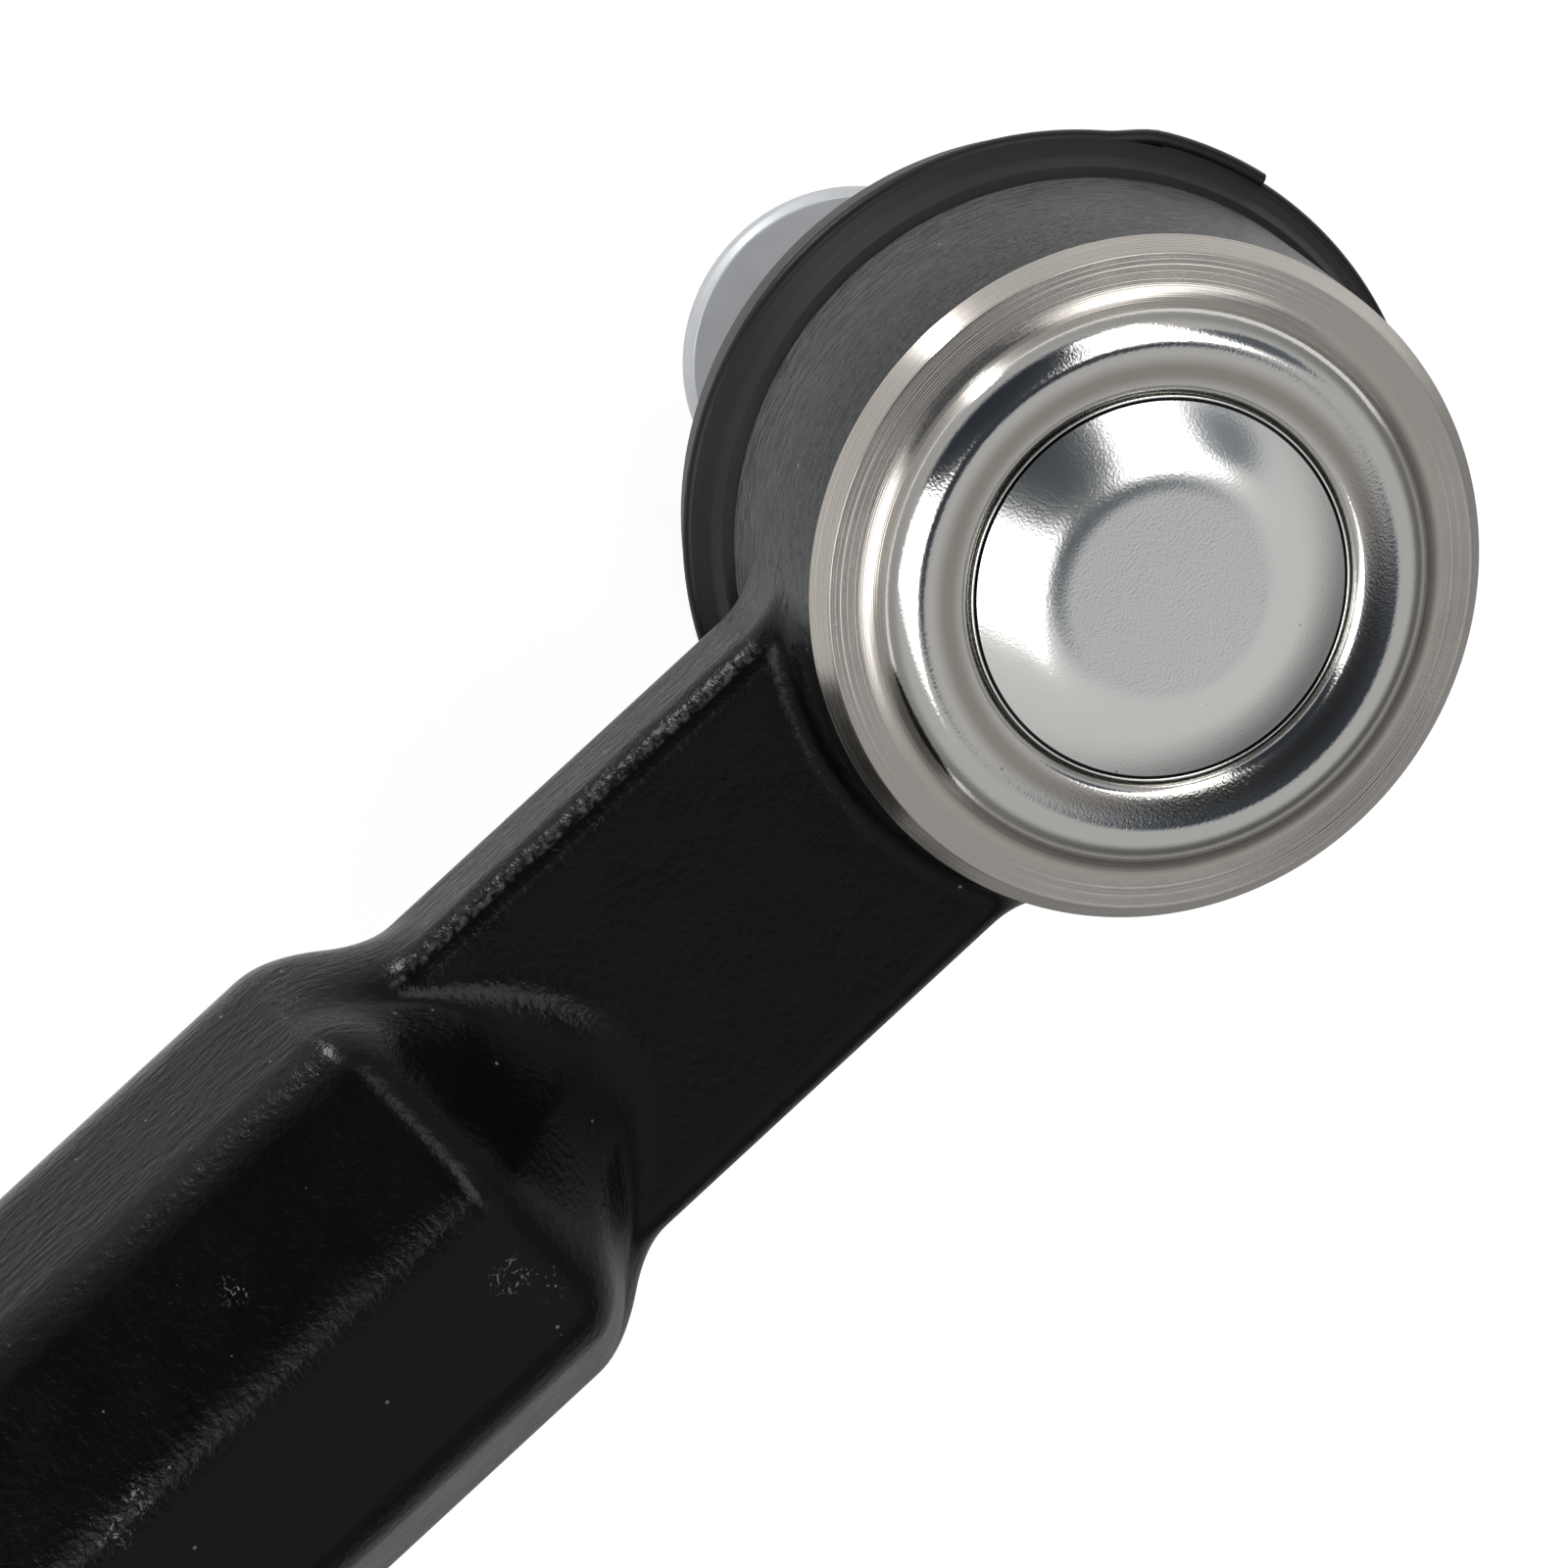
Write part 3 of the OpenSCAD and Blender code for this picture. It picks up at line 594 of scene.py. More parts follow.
def forge_housing():
    """Cup and arm joined, with the ball's cavity and the bore cut out."""
    foot_cos, foot_sin = cos_sin(FOOT_SLOPE)
    flank_cos, flank_sin = cos_sin(FLANK_SLOPE)
    inner_cos, inner_sin = cos_sin(LIP_IN_SLOPE)
    foot_r = RING_IN_R - COVE_R * foot_sin
    foot_z = FACE_Z + COVE_R * (1 - foot_cos)
    lip_r = (foot_r - CREST_R) / foot_sin
    crest_z = foot_z + lip_r * (1 - foot_cos)
    outside = arc(CREST_R, crest_z - lip_r, lip_r, FOOT_SLOPE, -FLANK_SLOPE, 16)
    flank_x, flank_z, _ = outside[-1]
    edge_x = LIP_IN_R + LIP_EDGE_R
    bend_r = (flank_x - edge_x + LIP_EDGE_R * inner_sin) / (inner_sin - flank_sin)
    bend_x = flank_x + bend_r * flank_sin
    bend_z = flank_z - bend_r * flank_cos
    flank = arc(bend_x, bend_z, bend_r, -FLANK_SLOPE, -LIP_IN_SLOPE, 6)
    edge_z = flank[-1][1] - LIP_EDGE_R * inner_cos
    inner_edge = arc(edge_x, edge_z, LIP_EDGE_R, -LIP_IN_SLOPE, -88, 12)
    cup = [(0, BASE_Z, 0), (FOOT_R, BASE_Z, 0.5), (FOOT_R, GROOVE_LOW, 0.3), (GROOVE_R, GROOVE_LOW, 0.4),
           (GROOVE_R, GROOVE_TOP, 0.4), (CUP_R, GROOVE_TOP, 0.5), (FACE_R, RIM_Z, 0.05),
           (FACE_R - CHAMFER_W, FACE_Z, 0.06)]
    cup += arc(RING_IN_R, FACE_Z + COVE_R, -COVE_R, 0, FOOT_SLOPE, 8)
    cup += outside[1:] + flank[1:-1] + inner_edge
    cup += [(LIP_IN_R, PLATE_TOP - 0.4, 0), (0, PLATE_TOP - 0.4, 0)]
    housing = make_piece("housing_forging", *spin(cup))
    combine(housing, make_piece("arm", *forging_arm()), "UNION")
    cavity = [(0, BASE_Z - 1, 0), (MOUTH_R + 0.55, BASE_Z - 1, 0), (THROAT_R, FLOOR_Z, 0.3), (CAVITY_R, FLOOR_Z, 0.3),
              (CAVITY_R, SHELF_Z, 0), (PLATE_R + 0.05, SHELF_Z, 0), (PLATE_R + 0.05, PLATE_TOP, 0), (0, PLATE_TOP, 0)]
    combine(housing, make_piece("cavity", *spin(cavity, steps=128)), "DIFFERENCE")
    return combine(housing, shank_bore(), "DIFFERENCE")


def end_finish(material, inputs):
    """Closes a material with its surface, and returns it."""
    surface = add_node(material.node_tree, "BsdfPrincipled", inputs)
    add_node(material.node_tree, "OutputMaterial", {"Surface": surface})
    return material


def from_axis(tree, place):
    """The way and the distance from the stud's axis."""
    out = add_node(tree, "VectorMath", {0: place, 1: (1, 1, 0)}, operation="MULTIPLY")
    return out, add_node(tree, "VectorMath", {0: out}, operation="LENGTH").outputs["Value"]


def painted_forging():
    """Black dip paint on a shot-blasted forging: satin, with the blasted skin's fine dimples showing through it. On
    the cup's side the paint is thinner and greyer, and painted light makes it lighter still toward the boot, in place
    of the shade of the boot's dark mirror image. Its streaks round the cup are drawn coarser than real."""
    material, tree, place = new_finish("black_paint_on_forging")
    peel = add_node(tree, "TexNoise", {"Vector": place, "Scale": 1 / (0.55 * MM), "Detail": 3.0, "Roughness": 0.6})
    waves = add_node(tree, "TexNoise", {"Vector": place, "Scale": 1 / (3.5 * MM), "Detail": 2.0})
    skin = add_node(tree, "Bump", {"Height": peel, "Distance": 0.055 * MM})
    skin = add_node(tree, "Bump", {"Height": waves, "Distance": 0.05 * MM, "Normal": skin})
    upright = add_node(tree, "SeparateXYZ", {0: add_node(tree, "NewGeometry").outputs["Normal"]})
    upright = add_node(tree, "Math", {0: upright.outputs["Z"]}, operation="ABSOLUTE")
    beside = add_node(tree, "MapRange", {
        "Value": upright, "From Min": 0.2, "From Max": 0.6, "To Min": 1.0, "To Max": 0.0})
    thin = add_node(tree, "VectorMath", {0: place, 1: (1, 1, 5)}, operation="MULTIPLY")
    streaks = add_node(tree, "TexNoise", {"Vector": thin, "Scale": 1 / (1.8 * MM), "Detail": 3.0, "Roughness": 0.65})
    streaks = add_node(tree, "Math", {0: streaks, 1: beside}, operation="MULTIPLY")
    skin = add_node(tree, "Bump", {"Height": streaks, "Distance": 0.13 * MM, "Normal": skin})
    dust = add_node(tree, "TexVoronoi", {"Vector": place, "Scale": 1 / (2.4 * MM)})
    specks = add_node(tree, "MapRange", {
        "Value": dust, "From Min": 0.035, "From Max": 0.06, "To Min": 0.30, "To Max": 0.0})
    kept = add_node(tree, "SeparateColor", {0: dust.outputs["Color"]})
    kept = add_node(tree, "Math", {0: kept, 1: 0.55}, operation="GREATER_THAN")
    specks = add_node(tree, "Math", {0: specks, 1: kept}, operation="MULTIPLY")
    hairs = add_node(tree, "TexNoise", {"Vector": place, "Scale": 1 / (0.5 * MM), "Detail": 2.0, "Distortion": 1.5})
    hairs = add_node(tree, "MapRange", {"Value": hairs, "From Min": 0.60, "From Max": 0.66})
    marks = specks
    for point, reach in SCUFFS:
        away = add_node(tree, "VectorMath", {0: place, 1: tuple(c * MM for c in point)}, operation="DISTANCE")
        near = add_node(tree, "MapRange", {
            "Value": away.outputs["Value"], "From Min": 0.3 * reach * MM, "From Max": reach * MM, "To Min": 0.35,
            "To Max": 0.0})
        scuff = add_node(tree, "Math", {0: near, 1: hairs}, operation="MULTIPLY")
        marks = add_node(tree, "Math", {0: marks, 1: scuff}, operation="MAXIMUM")
    x, y, z = add_node(tree, "SeparateXYZ", {0: place}).outputs
    # Painted highlight: a lighter, dotted line along the web's upper edge on the +Y side, where the rounded edge
    # catches the light. It shares the lighter grey of the dust specks and scuffs.
    edge_y = add_node(tree, "Math", {0: y, 1: (WEB_W / 2 - WEB_EDGE_R * 0.35) * MM}, operation="SUBTRACT")
    edge_z = add_node(tree, "Math", {0: z, 1: (WEB_T / 2 - WEB_EDGE_R * 0.25) * MM}, operation="SUBTRACT")
    off_edge = add_node(tree, "CombineXYZ", {0: edge_y, 1: edge_z})
    off_edge = add_node(tree, "VectorMath", {0: off_edge}, operation="LENGTH")
    line = add_node(tree, "MapRange", {
        "Value": off_edge.outputs["Value"], "From Min": 0.12 * MM, "From Max": 0.32 * MM, "To Min": 1.0,
        "To Max": 0.0})
    highlight_dots = add_node(tree, "MapRange", {
        "Value": peel, "From Min": 0.45, "From Max": 0.62, "To Max": 0.12})
    painted_edge_highlight = add_node(tree, "Math", {0: line, 1: highlight_dots}, operation="MULTIPLY")
    marks = add_node(tree, "Math", {0: marks, 1: painted_edge_highlight}, operation="MAXIMUM")
    radius = from_axis(tree, place)[1]
    # Painted light: the cup's upright side is a greyer tone that grows lighter toward the boot, making up for the
    # shade of the boot's dark mirror image. The grey follows the streaks.
    on_cup = add_node(tree, "MapRange", {
        "Value": radius, "From Min": 21 * MM, "From Max": 23 * MM, "To Min": 1.0, "To Max": 0.0})
    tone_and_painted_light = add_node(tree, "MapRange", {
        "Value": z, "From Min": -6 * MM, "From Max": 7 * MM, "To Min": 1.0, "To Max": 0.1})
    tone_and_painted_light = add_node(tree, "Math", {0: tone_and_painted_light, 1: on_cup}, operation="MULTIPLY")
    tone_and_painted_light = add_node(tree, "Math", {0: tone_and_painted_light, 1: beside}, operation="MULTIPLY")
    streak_tone = add_node(tree, "MapRange", {
        "Value": streaks, "From Min": 0.40, "From Max": 0.56, "To Min": 0.6, "To Max": 1.1})
    tone_and_painted_light = add_node(tree, "Math", {0: tone_and_painted_light, 1: streak_tone}, operation="MULTIPLY")
    paint = add_node(tree, "Mix", {"Factor": tone_and_painted_light, "A": linear("#050606"), "B": linear("#4A4A4B")}, data_type="RGBA")
    colour = add_node(tree, "Mix", {
        "Factor": marks, "A": paint.outputs["Result"], "B": linear("#9A9A98")}, data_type="RGBA")
    rough = add_node(tree, "MapRange", {
        "Value": waves, "From Min": 0.3, "From Max": 0.7, "To Min": 0.20, "To Max": 0.26})
    return end_finish(material, {
        "Base Color": colour.outputs["Result"], "Roughness": rough, "Specular IOR Level": 0.15,
        "Normal": skin})


def turned_steel():
    """Bare steel from a lathe: fine rings round the axis, which spread reflections across them."""
    material, tree, place = new_finish("turned_steel")
    out, radius = from_axis(tree, place)
    x, y, z = add_node(tree, "SeparateXYZ", {0: place}).outputs
    across = add_node(tree, "Math", {0: radius, 1: z}, operation="SUBTRACT")
    grooves = add_node(tree, "TexNoise", {
        "W": across, "Scale": 1 / (0.12 * MM), "Detail": 2.0}, noise_dimensions="1D")
    patches = add_node(tree, "TexNoise", {"Vector": place, "Scale": 1 / (2.5 * MM), "Detail": 3.0})
    skin = add_node(tree, "Bump", {"Height": grooves, "Strength": 0.8, "Distance": 0.022 * MM})
    rough = add_node(tree, "MapRange", {
        "Value": patches, "From Min": 0.3, "From Max": 0.7, "To Min": 0.19, "To Max": 0.25})
    return end_finish(material, {
        "Base Color": linear("#B0ABA4"), "Metallic": 1.0, "Roughness": rough, "Anisotropic": 0.6, "Tangent": out,
        "Normal": skin})


def burnished_steel(name, colour, roughness, grain, bands):
    """Steel pressed smooth by a roller or a polished die: near-mirror, with a fine orange-peel grain. A band is a
    ring of another tone, duller steel on the lip and painted shade in the cover's groove and gap, given by its
    radius, half width, fade and colour."""
    material, tree, place = new_finish(name)
    peel = add_node(tree, "TexNoise", {"Vector": place, "Scale": 1 / (grain * MM), "Detail": 2.0})
    pits = add_node(tree, "TexVoronoi", {"Vector": place, "Scale": 1 / (3.0 * MM)})
    pitted = add_node(tree, "MapRange", {
        "Value": pits, "From Min": 0.02, "From Max": 0.04, "To Min": 0.6, "To Max": 0.0})
    tint = add_node(tree, "Mix", {"Factor": pitted, "A": linear(colour), "B": linear("#5A5550")}, data_type="RGBA")
    radius = from_axis(tree, place)[1]
    # On the lip a band is a duller tone of the steel. On the cover the bands are painted shade in the groove at the
    # dome's foot and in the gap under the lip's edge.
    for middle, full, fade, shade in bands:
        off = add_node(tree, "Math", {0: radius, 1: middle * MM}, operation="SUBTRACT")
        off = add_node(tree, "Math", {0: off}, operation="ABSOLUTE")
        tone_and_painted_light = add_node(tree, "MapRange", {
            "Value": off, "From Min": full * MM, "From Max": (full + fade) * MM, "To Min": 1.0, "To Max": 0.0},
            interpolation_type="SMOOTHSTEP")
        tint = add_node(tree, "Mix", {
            "Factor": tone_and_painted_light, "A": tint.outputs["Result"], "B": linear(shade)}, data_type="RGBA")
    skin = add_node(tree, "Bump", {"Height": peel, "Strength": 0.55, "Distance": 0.012 * MM})
    return end_finish(material, {
        "Base Color": tint.outputs["Result"], "Metallic": 1.0, "Roughness": roughness, "Normal": skin})


TURNED = turned_steel()
THREAD = screw_thread()


def wear(mesh, *materials):
    """Gives a mesh these materials and no others."""
    mesh.materials.clear()
    for material in materials:
        mesh.materials.append(material)


def finish_housing(housing):
    """Paint outside, turned steel on the face's chamfer, ring and cove and in the bores, rolled steel on the lip."""
    paint = painted_forging()
    wear(housing.data, paint, TURNED, burnished_steel("rolled_steel_lip", "#C6C4C0", 0.11, 0.16, ROLLER_BANDS))
    for face in housing.data.polygons:
        centre = face.center / MM
        r = math.hypot(centre.x, centre.y)
        bore = math.hypot(centre.y, centre.z)
        if centre.z > RIM_Z - SLACK and r < FACE_R + SLACK:
            on_lip = r < RING_IN_R - LIP_FROM_RING and centre.z > FACE_Z + LIP_ABOVE_FACE
            face.material_index = 2 if on_lip else 1
        elif r < CAVITY_R + 0.1 or (centre.x < -SHANK_END + BORE_DEPTH + 8 and bore < BORE_ROOT_R + 1.2):
            face.material_index = 1


housing = forge_housing()
finish_housing(housing)
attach(housing, "housing")
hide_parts("housing")

# Cover plate
# Steel plate pressed in a polished die, with a raised flat-topped centre and a fine bead round its foot. The
# rolled lip holds its edge down.
DOME_TOP = 12.77
DOME_FLAT_R = 5.8
DOME_BEND_R = 8.6
DOME_SLOPE = 20
DOME_FLANK_R = 17.26
DOME_FOOT_SLOPE = 28
DOME_R = 11.25
BEAD_Z = 11.28
BEAD_W = 0.13
DITCH_DEPTH = 0.55
PLATE_T = 1.2
# Painted shade: a dark ring in the groove at the dome's foot, and a darker ring on the plate seen through the gap
# under the lip's edge.
PAINTED_SHADE_BANDS = ((11.02, 0.06, 0.05, "#2A2A2B"), (12.0, 0.68, 0.05, "#3A3937"))


def press_cover():
    cover = [(0, DOME_TOP, 0)]
    cover += arc(DOME_FLAT_R, DOME_TOP - DOME_BEND_R, DOME_BEND_R, 0, DOME_SLOPE, 12)
    step = DOME_BEND_R - DOME_FLANK_R
    c, s = cos_sin(DOME_SLOPE)
    cover += arc(DOME_FLAT_R + step * s, DOME_TOP - DOME_BEND_R + step * c, DOME_FLANK_R, DOME_SLOPE,
                 DOME_FOOT_SLOPE, 8)[1:]
    cover += [(DOME_R - 0.31, BEAD_Z - DITCH_DEPTH, 0.02), (DOME_R - 0.15, BEAD_Z - DITCH_DEPTH, 0.02),
              (DOME_R - BEAD_W, BEAD_Z, 0.05), (DOME_R, BEAD_Z, 0.06), (DOME_R, PLATE_TOP, 0.1),
              (PLATE_R, PLATE_TOP, 0.1), (PLATE_R, SHELF_Z, 0.1),
              (DOME_R - PLATE_T, SHELF_Z, 0.3), (DOME_R - PLATE_T, BEAD_Z - PLATE_T, 0.4),
              (DOME_FLAT_R - 0.2, DOME_TOP - PLATE_T, 1.0), (0, DOME_TOP - PLATE_T, 0)]
    return make_piece("cover_pressing", *spin(cover), sharp=40)


cover = press_cover()
wear(cover.data, burnished_steel("pressed_cover_steel", "#DFDFDC", 0.18, 0.16, PAINTED_SHADE_BANDS))
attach(cover, "housing")
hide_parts("cover_plate")

# Dust boot
# Moulded rubber bellows that keeps the grease in: its bead sits in the cup's groove, and its neck grips the stud's
# land.
BEAD_R = 22.4
RING_Z = -9.49
NECK_IN_R = 7.6
NECK_OUT_R = 10.2
NECK_LOW = -25.1


def mould_boot():
    boot = [(GROOVE_R + 0.05, GROOVE_TOP - 0.05, 0.3), (CUP_R - 0.2, GROOVE_TOP - 0.05, 0.2),
            (CUP_R + 0.45, GROOVE_TOP - 0.25, 0.3), (CUP_R + 0.9, GROOVE_TOP - 1.4, 0.6),
            (BEAD_R - 0.3, RING_Z + 0.75, 0.3), (BEAD_R, RING_Z + 0.55, 0.1), (BEAD_R - 0.35, RING_Z + 0.35, 0.1),
            (BEAD_R - 0.35, RING_Z - 0.35, 0.1), (BEAD_R, RING_Z - 0.7, 0.2),
            (BEAD_R - 0.2, GROOVE_LOW + 0.2, 0.8), (BEAD_R - 0.8, BASE_Z - 0.6, 2.0), (20.1, -17.6, 2.2),
            (16.7, -20.6, 2.5), (NECK_OUT_R + 1.4, -20.5, 0.9), (NECK_OUT_R, -21.1, 0.4), (NECK_OUT_R, -22.0, 0.15),
            (NECK_OUT_R - 0.4, -22.2, 0.15), (NECK_OUT_R - 0.4, -23.0, 0.15), (NECK_OUT_R, -23.2, 0.15),
            (NECK_OUT_R, NECK_LOW, 0.4), (NECK_IN_R, NECK_LOW, 0.3), (NECK_IN_R, -20.6, 0.8), (9.2, -19.0, 1.0),
            (16.0, -18.7, 2.0), (18.5, -17.0, 1.6), (19.9, -13.3, 0.3), (19.9, GROOVE_LOW + 0.05, 0.1),
            (GROOVE_R + 0.05, GROOVE_LOW + 0.05, 0.3)]
    return make_piece("boot_rubber", *spin(boot, closed=True, steps=160), sharp=50)


def moulded_rubber():
    """Black rubber from a spark-eroded mould: matt, with a soft bloom and a fine grain."""
    material, tree, place = new_finish("moulded_black_rubber")
    grain = add_node(tree, "TexNoise", {"Vector": place, "Scale": 1 / (0.25 * MM), "Detail": 2.0})
    bloom = add_node(tree, "TexNoise", {"Vector": place, "Scale": 1 / (5.0 * MM), "Detail": 4.0})
    colour = add_node(tree, "Mix", {
        "Factor": bloom, "A": linear("#0F1011"), "B": linear("#1D1D1E")}, data_type="RGBA")
    skin = add_node(tree, "Bump", {"Height": grain, "Strength": 0.5, "Distance": 0.02 * MM})
    return end_finish(material, {
        "Base Color": colour.outputs["Result"], "Roughness": 0.55, "Specular IOR Level": 0.22,
        "Normal": skin})


boot = mould_boot()
wear(boot.data, moulded_rubber())
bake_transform(boot)
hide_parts("dust_boot")

# Boot rings
# Two rings of blackened spring wire. The large one is sprung round the bead, where its ends overlap, and the small
# one holds the neck.
LARGE_RING_R = 22.15
LARGE_WIRE_R = 0.55
OVERLAP_AT = 16.5
OVERLAP_LENGTH = 17.0
OVERLAP_OUT = 0.5
SMALL_RING_R = 10.43
SMALL_RING_Z = -22.6
SMALL_WIRE_R = 0.7


def blackened_wire():
    """Spring wire, oil blackened: dark, smooth and a little shiny."""
    material, tree, place = new_finish("blackened_spring_wire")
    oil = add_node(tree, "TexNoise", {"Vector": place, "Scale": 1 / (0.8 * MM), "Detail": 2.0})
    rough = add_node(tree, "MapRange", {"Value": oil, "To Min": 0.3, "To Max": 0.5})
    return end_finish(material, {
        "Base Color": linear("#0C0C0D"), "Roughness": rough, "Specular IOR Level": 0.25})


def sprung_wire():
    """Rule for a ring of round wire that is wound clockwise. Its last part steps outwards, so that it can lie over
    the first."""
    tree, size = new_rule("sprung_wire", Radius="Float", Wire="Float", Start="Float", Turns="Float", Points="Int",
                          Closed="Bool", Lift="Float", Lift_from="Float", Lift_to="Float", Height="Float",
                          Finish="Material")
    line = add_node(tree, "GeometryNodeCurvePrimitiveLine", {"End": (0.1, 0, 0)})
    line = add_node(tree, "GeometryNodeResampleCurve", {"Curve": line, "Count": size["Points"]})
    share = add_node(tree, "GeometryNodeSplineParameter").outputs["Factor"]
    lift = add_node(tree, "MapRange", {
        "Value": share, "From Min": size["Lift_from"], "From Max": size["Lift_to"], "To Max": size["Lift"]},
        interpolation_type="SMOOTHSTEP")
    r = add_node(tree, "Math", {0: size["Radius"], 1: lift}, operation="ADD")
    out = add_node(tree, "CombineXYZ", {0: r, 2: size["Height"]})
    turned = add_node(tree, "Math", {0: share, 1: size["Turns"]}, operation="MULTIPLY")
    angle = add_node(tree, "Math", {0: turned, 1: -2 * math.pi, 2: size["Start"]}, operation="MULTIPLY_ADD")
    place = add_node(tree, "VectorRotate", {"Vector": out, "Angle": angle}, rotation_type="Z_AXIS")
    path = add_node(tree, "GeometryNodeSetPosition", {0: line, "Position": place})
    path = add_node(tree, "GeometryNodeSetSplineCyclic", {"Geometry": path, "Cyclic": size["Closed"]})
    section = add_node(tree, "GeometryNodeCurvePrimitiveCircle", {"Resolution": 16, "Radius": size["Wire"]})
    wire = add_node(tree, "GeometryNodeCurveToMesh", {"Curve": path, "Profile Curve": section, "Fill Caps": True})
    return end_rule(tree, wire, size["Finish"])


def bend_rings():
    rule = sprung_wire()
    finish = blackened_wire()
    whole = 360 + OVERLAP_LENGTH
    large = run_rule("boot_ring_large_wire", rule, sharp=50, Radius=LARGE_RING_R * MM, Wire=LARGE_WIRE_R * MM,
                     Start=math.radians(OVERLAP_AT + OVERLAP_LENGTH), Turns=whole / 360, Points=253, Closed=False,
                     Lift=OVERLAP_OUT * MM, Lift_from=351 / whole, Lift_to=360 / whole, Height=RING_Z * MM,
                     Finish=finish)
    small = run_rule("boot_ring_small_wire", rule, sharp=50, Radius=SMALL_RING_R * MM, Wire=SMALL_WIRE_R * MM,
                     Start=0.0, Turns=119 / 120, Points=120, Closed=True, Lift=0.0, Lift_from=0.9, Lift_to=1.0,
                     Height=SMALL_RING_Z * MM, Finish=finish)
    return large, small


large_ring, small_ring = bend_rings()
for ring, body, stands_for in (
        (large_ring, "housing", "boot_ring_large"), (small_ring, "boot_neck", "boot_ring_small")):
    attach(ring, body)
    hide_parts(stands_for)

# Ball stud
# Forged and ground steel, all one piece: the ball, a waist, the land for the boot, a 1 in 10 taper and a fine
# thread with a hexagon socket in its end.
BALL_R = 11.5
BALL_FLAT_R = 7.5
WAIST_R = 6.6
STUD_THREAD_R = 4.95
STUD_ROOT_R = 4.25
STUD_PITCH = 1.25
STUD_END = -60.0
LAND_R = 7.3
TAPER_R = 7.2
TAPER_LOW_R = 6.22
TAPER_TOP = -25.5
THREAD_TOP = -45.0
KEY_AF = 4.0
KEY_DEPTH = 4


def make_stud(finish):
    flat_z = math.sqrt(BALL_R ** 2 - BALL_FLAT_R ** 2)
    ball = [(0, flat_z, 0), (BALL_FLAT_R - 0.2, flat_z, 0)]
    ball += arc(0, 0, BALL_R, math.degrees(math.asin(BALL_FLAT_R / BALL_R)),
                180 - math.degrees(math.asin(WAIST_R / BALL_R)), 40)
    ball += [(WAIST_R, -16.0, 2.0), (LAND_R, -18.5, 0.6), (LAND_R, TAPER_TOP, 0.05), (TAPER_R, TAPER_TOP, 0.05),
             (TAPER_LOW_R, THREAD_TOP, 0.2), (STUD_ROOT_R, THREAD_TOP, 0.2), (STUD_ROOT_R, THREAD_TOP - 1.4, 0),
             (0, THREAD_TOP - 1.4, 0)]
    stud = make_piece("stud_steel", *spin(ball, steps=128))
    bar = cut_thread("stud_thread", STUD_ROOT_R, STUD_THREAD_R, STUD_PITCH, STUD_END - STUD_PITCH, THREAD_TOP - 0.8,
                     72, 10, finish)
    combine(stud, bar, "UNION")
    keep = [(0, 13, 0), (13, 13, 0), (13, STUD_END + 1.0, 0), (STUD_THREAD_R + 0.1, STUD_END + 1.0, 0),
            (STUD_THREAD_R - 0.9, STUD_END, 0), (0, STUD_END, 0)]
    combine(stud, make_piece("end_chamfer", *spin(keep, steps=96)), "INTERSECT")
    corner = KEY_AF / math.cos(math.pi / 6) / 2
    key = [(0, STUD_END + KEY_DEPTH, 0), (corner, STUD_END + KEY_DEPTH, 0), (corner, STUD_END - 1, 0),
           (0, STUD_END - 1, 0)]
    return combine(stud, make_piece("key_socket", *spin(key, steps=6)), "DIFFERENCE")


def ground_steel(name, colour, roughness):
    """Steel ground between centres: fine marks round the axis and a grey phosphate tone."""
    material, tree, place = new_finish(name)
    height = add_node(tree, "SeparateXYZ", {0: place}).outputs["Z"]
    marks = add_node(tree, "TexNoise", {"W": height, "Scale": 1 / (0.15 * MM), "Detail": 2.0}, noise_dimensions="1D")
    tone = add_node(tree, "TexNoise", {"Vector": place, "Scale": 1 / (3.0 * MM), "Detail": 4.0})
    shades = add_node(tree, "Mix", {
        "Factor": tone, "A": linear(colour[0]), "B": linear(colour[1])}, data_type="RGBA")
    skin = add_node(tree, "Bump", {"Height": marks, "Strength": 0.4, "Distance": 0.01 * MM})
    return end_finish(material, {
        "Base Color": shades.outputs["Result"], "Metallic": 1.0, "Roughness": roughness, "Normal": skin})


stud_finish = ground_steel("ground_stud_steel", ("#9B9C9E", "#B2B2B2"), 0.32)
stud = make_stud(stud_finish)
wear(stud.data, stud_finish)
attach(stud, "stud")
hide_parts("ball_stud")

# Flange nut
# Cold-formed and zinc plated: a round flange that bears on the steering arm, a hexagon, and a thin collar crimped
# over a nylon locking ring. It is started on the thread, as the joint is sold.
NUT_FACE = -53.6
FLANGE_R = 10.8
NUT_AF = 14.0
NUT_H = 10.5
HEXAGON_TOP = NUT_FACE - 1.4
COLLAR_R = 6.7
COLLAR_H = 2.4
INSERT_R = 5.9


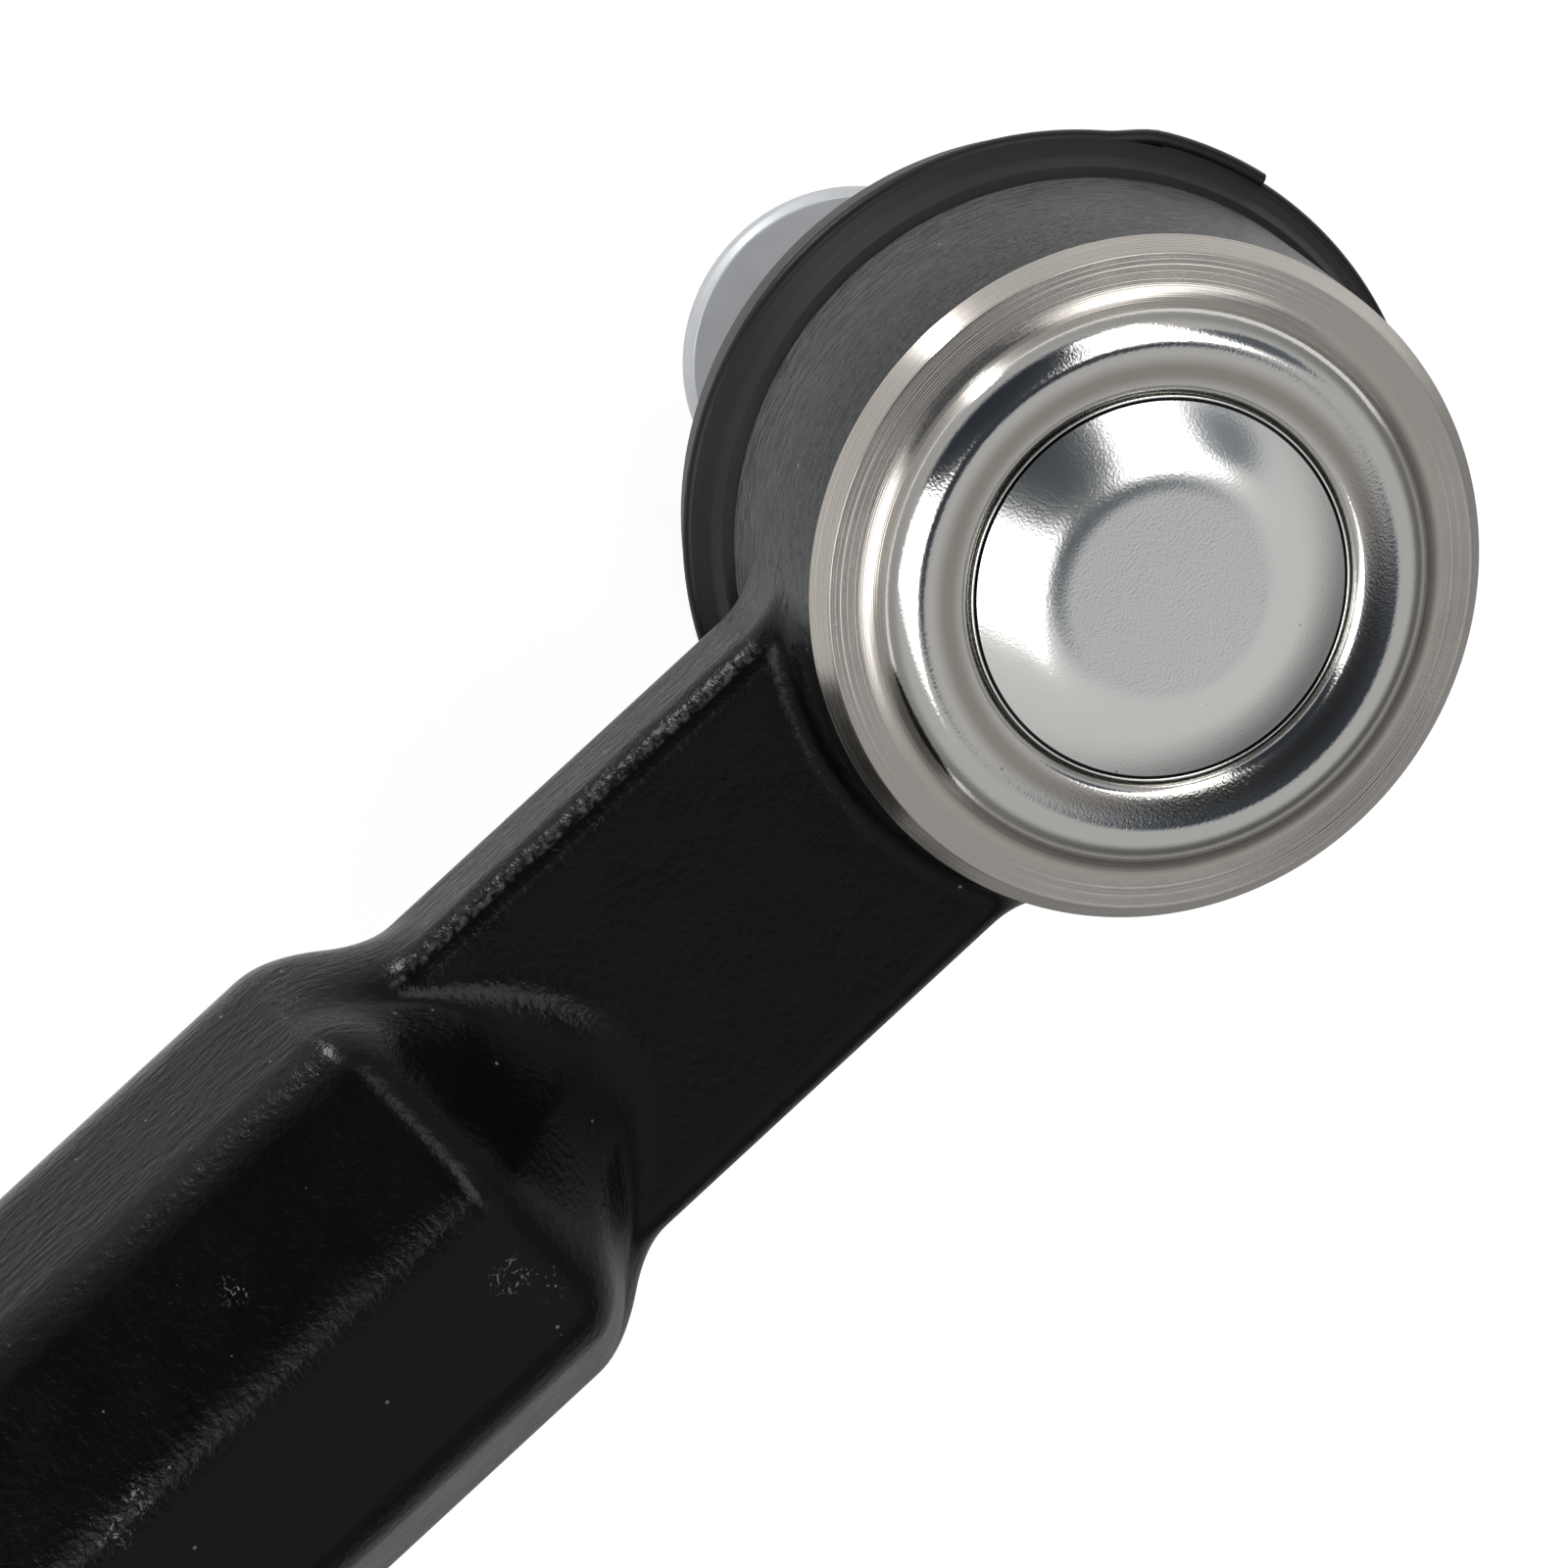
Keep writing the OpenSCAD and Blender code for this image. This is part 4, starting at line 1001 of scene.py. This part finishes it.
def form_nut():
    low = NUT_FACE - NUT_H
    bore = STUD_THREAD_R + 0.05
    flange = [(bore + 0.7, NUT_FACE, 0.05), (FLANGE_R - 0.35, NUT_FACE, 0.2), (FLANGE_R, NUT_FACE - 0.5, 0.3),
              (FLANGE_R, NUT_FACE - 1.5, 0.3), (7.6, NUT_FACE - 2.9, 0.8), (COLLAR_R, NUT_FACE - 3.1, 0),
              (COLLAR_R, low + 0.7, 0.5), (COLLAR_R - 0.9, low, 0.3), (bore + 0.1, low, 0.1),
              (bore + 0.1, low + 0.2, 0), (INSERT_R, low + 0.2, 0), (INSERT_R, low + COLLAR_H, 0),
              (bore, low + COLLAR_H, 0.1), (bore, NUT_FACE - 0.65, 0.1)]
    nut = make_piece("nut_steel", *spin(flange, closed=True, steps=144))
    across = NUT_AF / math.cos(math.pi / 6) / 2
    sides = [(INSERT_R + 0.3, low + COLLAR_H, 0), (across, low + COLLAR_H, 0), (across, HEXAGON_TOP, 0),
             (INSERT_R + 0.3, HEXAGON_TOP, 0)]
    prism = make_piece("hexagon", *spin(sides, closed=True, steps=6))
    crown = [(INSERT_R + 0.2, low + COLLAR_H - 0.05, 0), (NUT_AF / 2 - 0.1, low + COLLAR_H - 0.05, 0),
             (NUT_AF / 2 + 2.4, low + COLLAR_H + 1.7, 0), (NUT_AF / 2 + 2.4, NUT_FACE - 1.3, 0),
             (INSERT_R + 0.2, NUT_FACE - 1.3, 0)]
    combine(prism, make_piece("crown", *spin(crown, closed=True, steps=96)), "INTERSECT")
    return combine(nut, prism, "UNION", sharp=30)


def zinc_plate():
    """Dull zinc on cold-formed steel: pale grey, half matt, with faint cloudy patches."""
    material, tree, place = new_finish("zinc_plated_steel")
    clouds = add_node(tree, "TexNoise", {"Vector": place, "Scale": 1 / (2.2 * MM), "Detail": 4.0})
    shades = add_node(tree, "Mix", {
        "Factor": clouds, "A": linear("#B4B6B9"), "B": linear("#C6C8CA")}, data_type="RGBA")
    rough = add_node(tree, "MapRange", {
        "Value": clouds, "From Min": 0.3, "From Max": 0.7, "To Min": 0.45, "To Max": 0.55})
    peel = add_node(tree, "TexNoise", {"Vector": place, "Scale": 1 / (0.3 * MM), "Detail": 1.0})
    skin = add_node(tree, "Bump", {"Height": peel, "Strength": 0.3, "Distance": 0.01 * MM})
    return end_finish(material, {
        "Base Color": shades.outputs["Result"], "Metallic": 0.55, "Roughness": rough, "Normal": skin})


nut = form_nut()
wear(nut.data, zinc_plate())
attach(nut, "stud")
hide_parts("flange_nut")

# Inner pieces
# The plastic seats, the disc spring and the nut's nylon ring lie out of sight. Their solids are shown as they are,
# in the finish of the real ones.
INNER = {
    "pressure_seat": ("#E3DFD2", 0.0, 0.45, "natural_acetal"),
    "lower_seat": ("#E3DFD2", 0.0, 0.45, "natural_acetal"),
    "disc_spring": ("#8C8F94", 1.0, 0.35, "oiled_spring_steel"),
    "nut_insert": ("#DCDCD6", 0.0, 0.5, "natural_nylon"),
}


def inner_finish(name, colour, metallic, roughness):
    """Plain finish of a hidden piece, with the slight unevenness of a moulded or rolled surface."""
    material, tree, place = new_finish(name)
    waves = add_node(tree, "TexNoise", {"Vector": place, "Scale": 1 / (1.5 * MM), "Detail": 2.0})
    skin = add_node(tree, "Bump", {"Height": waves, "Strength": 0.2, "Distance": 0.01 * MM})
    return end_finish(material, {
        "Base Color": linear(colour), "Metallic": metallic, "Roughness": roughness, "Normal": skin})


for name, (colour, metallic, roughness, finish_name) in INNER.items():
    material = bpy.data.materials.get(finish_name) or inner_finish(finish_name, colour, metallic, roughness)
    wear(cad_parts[name].data, material)
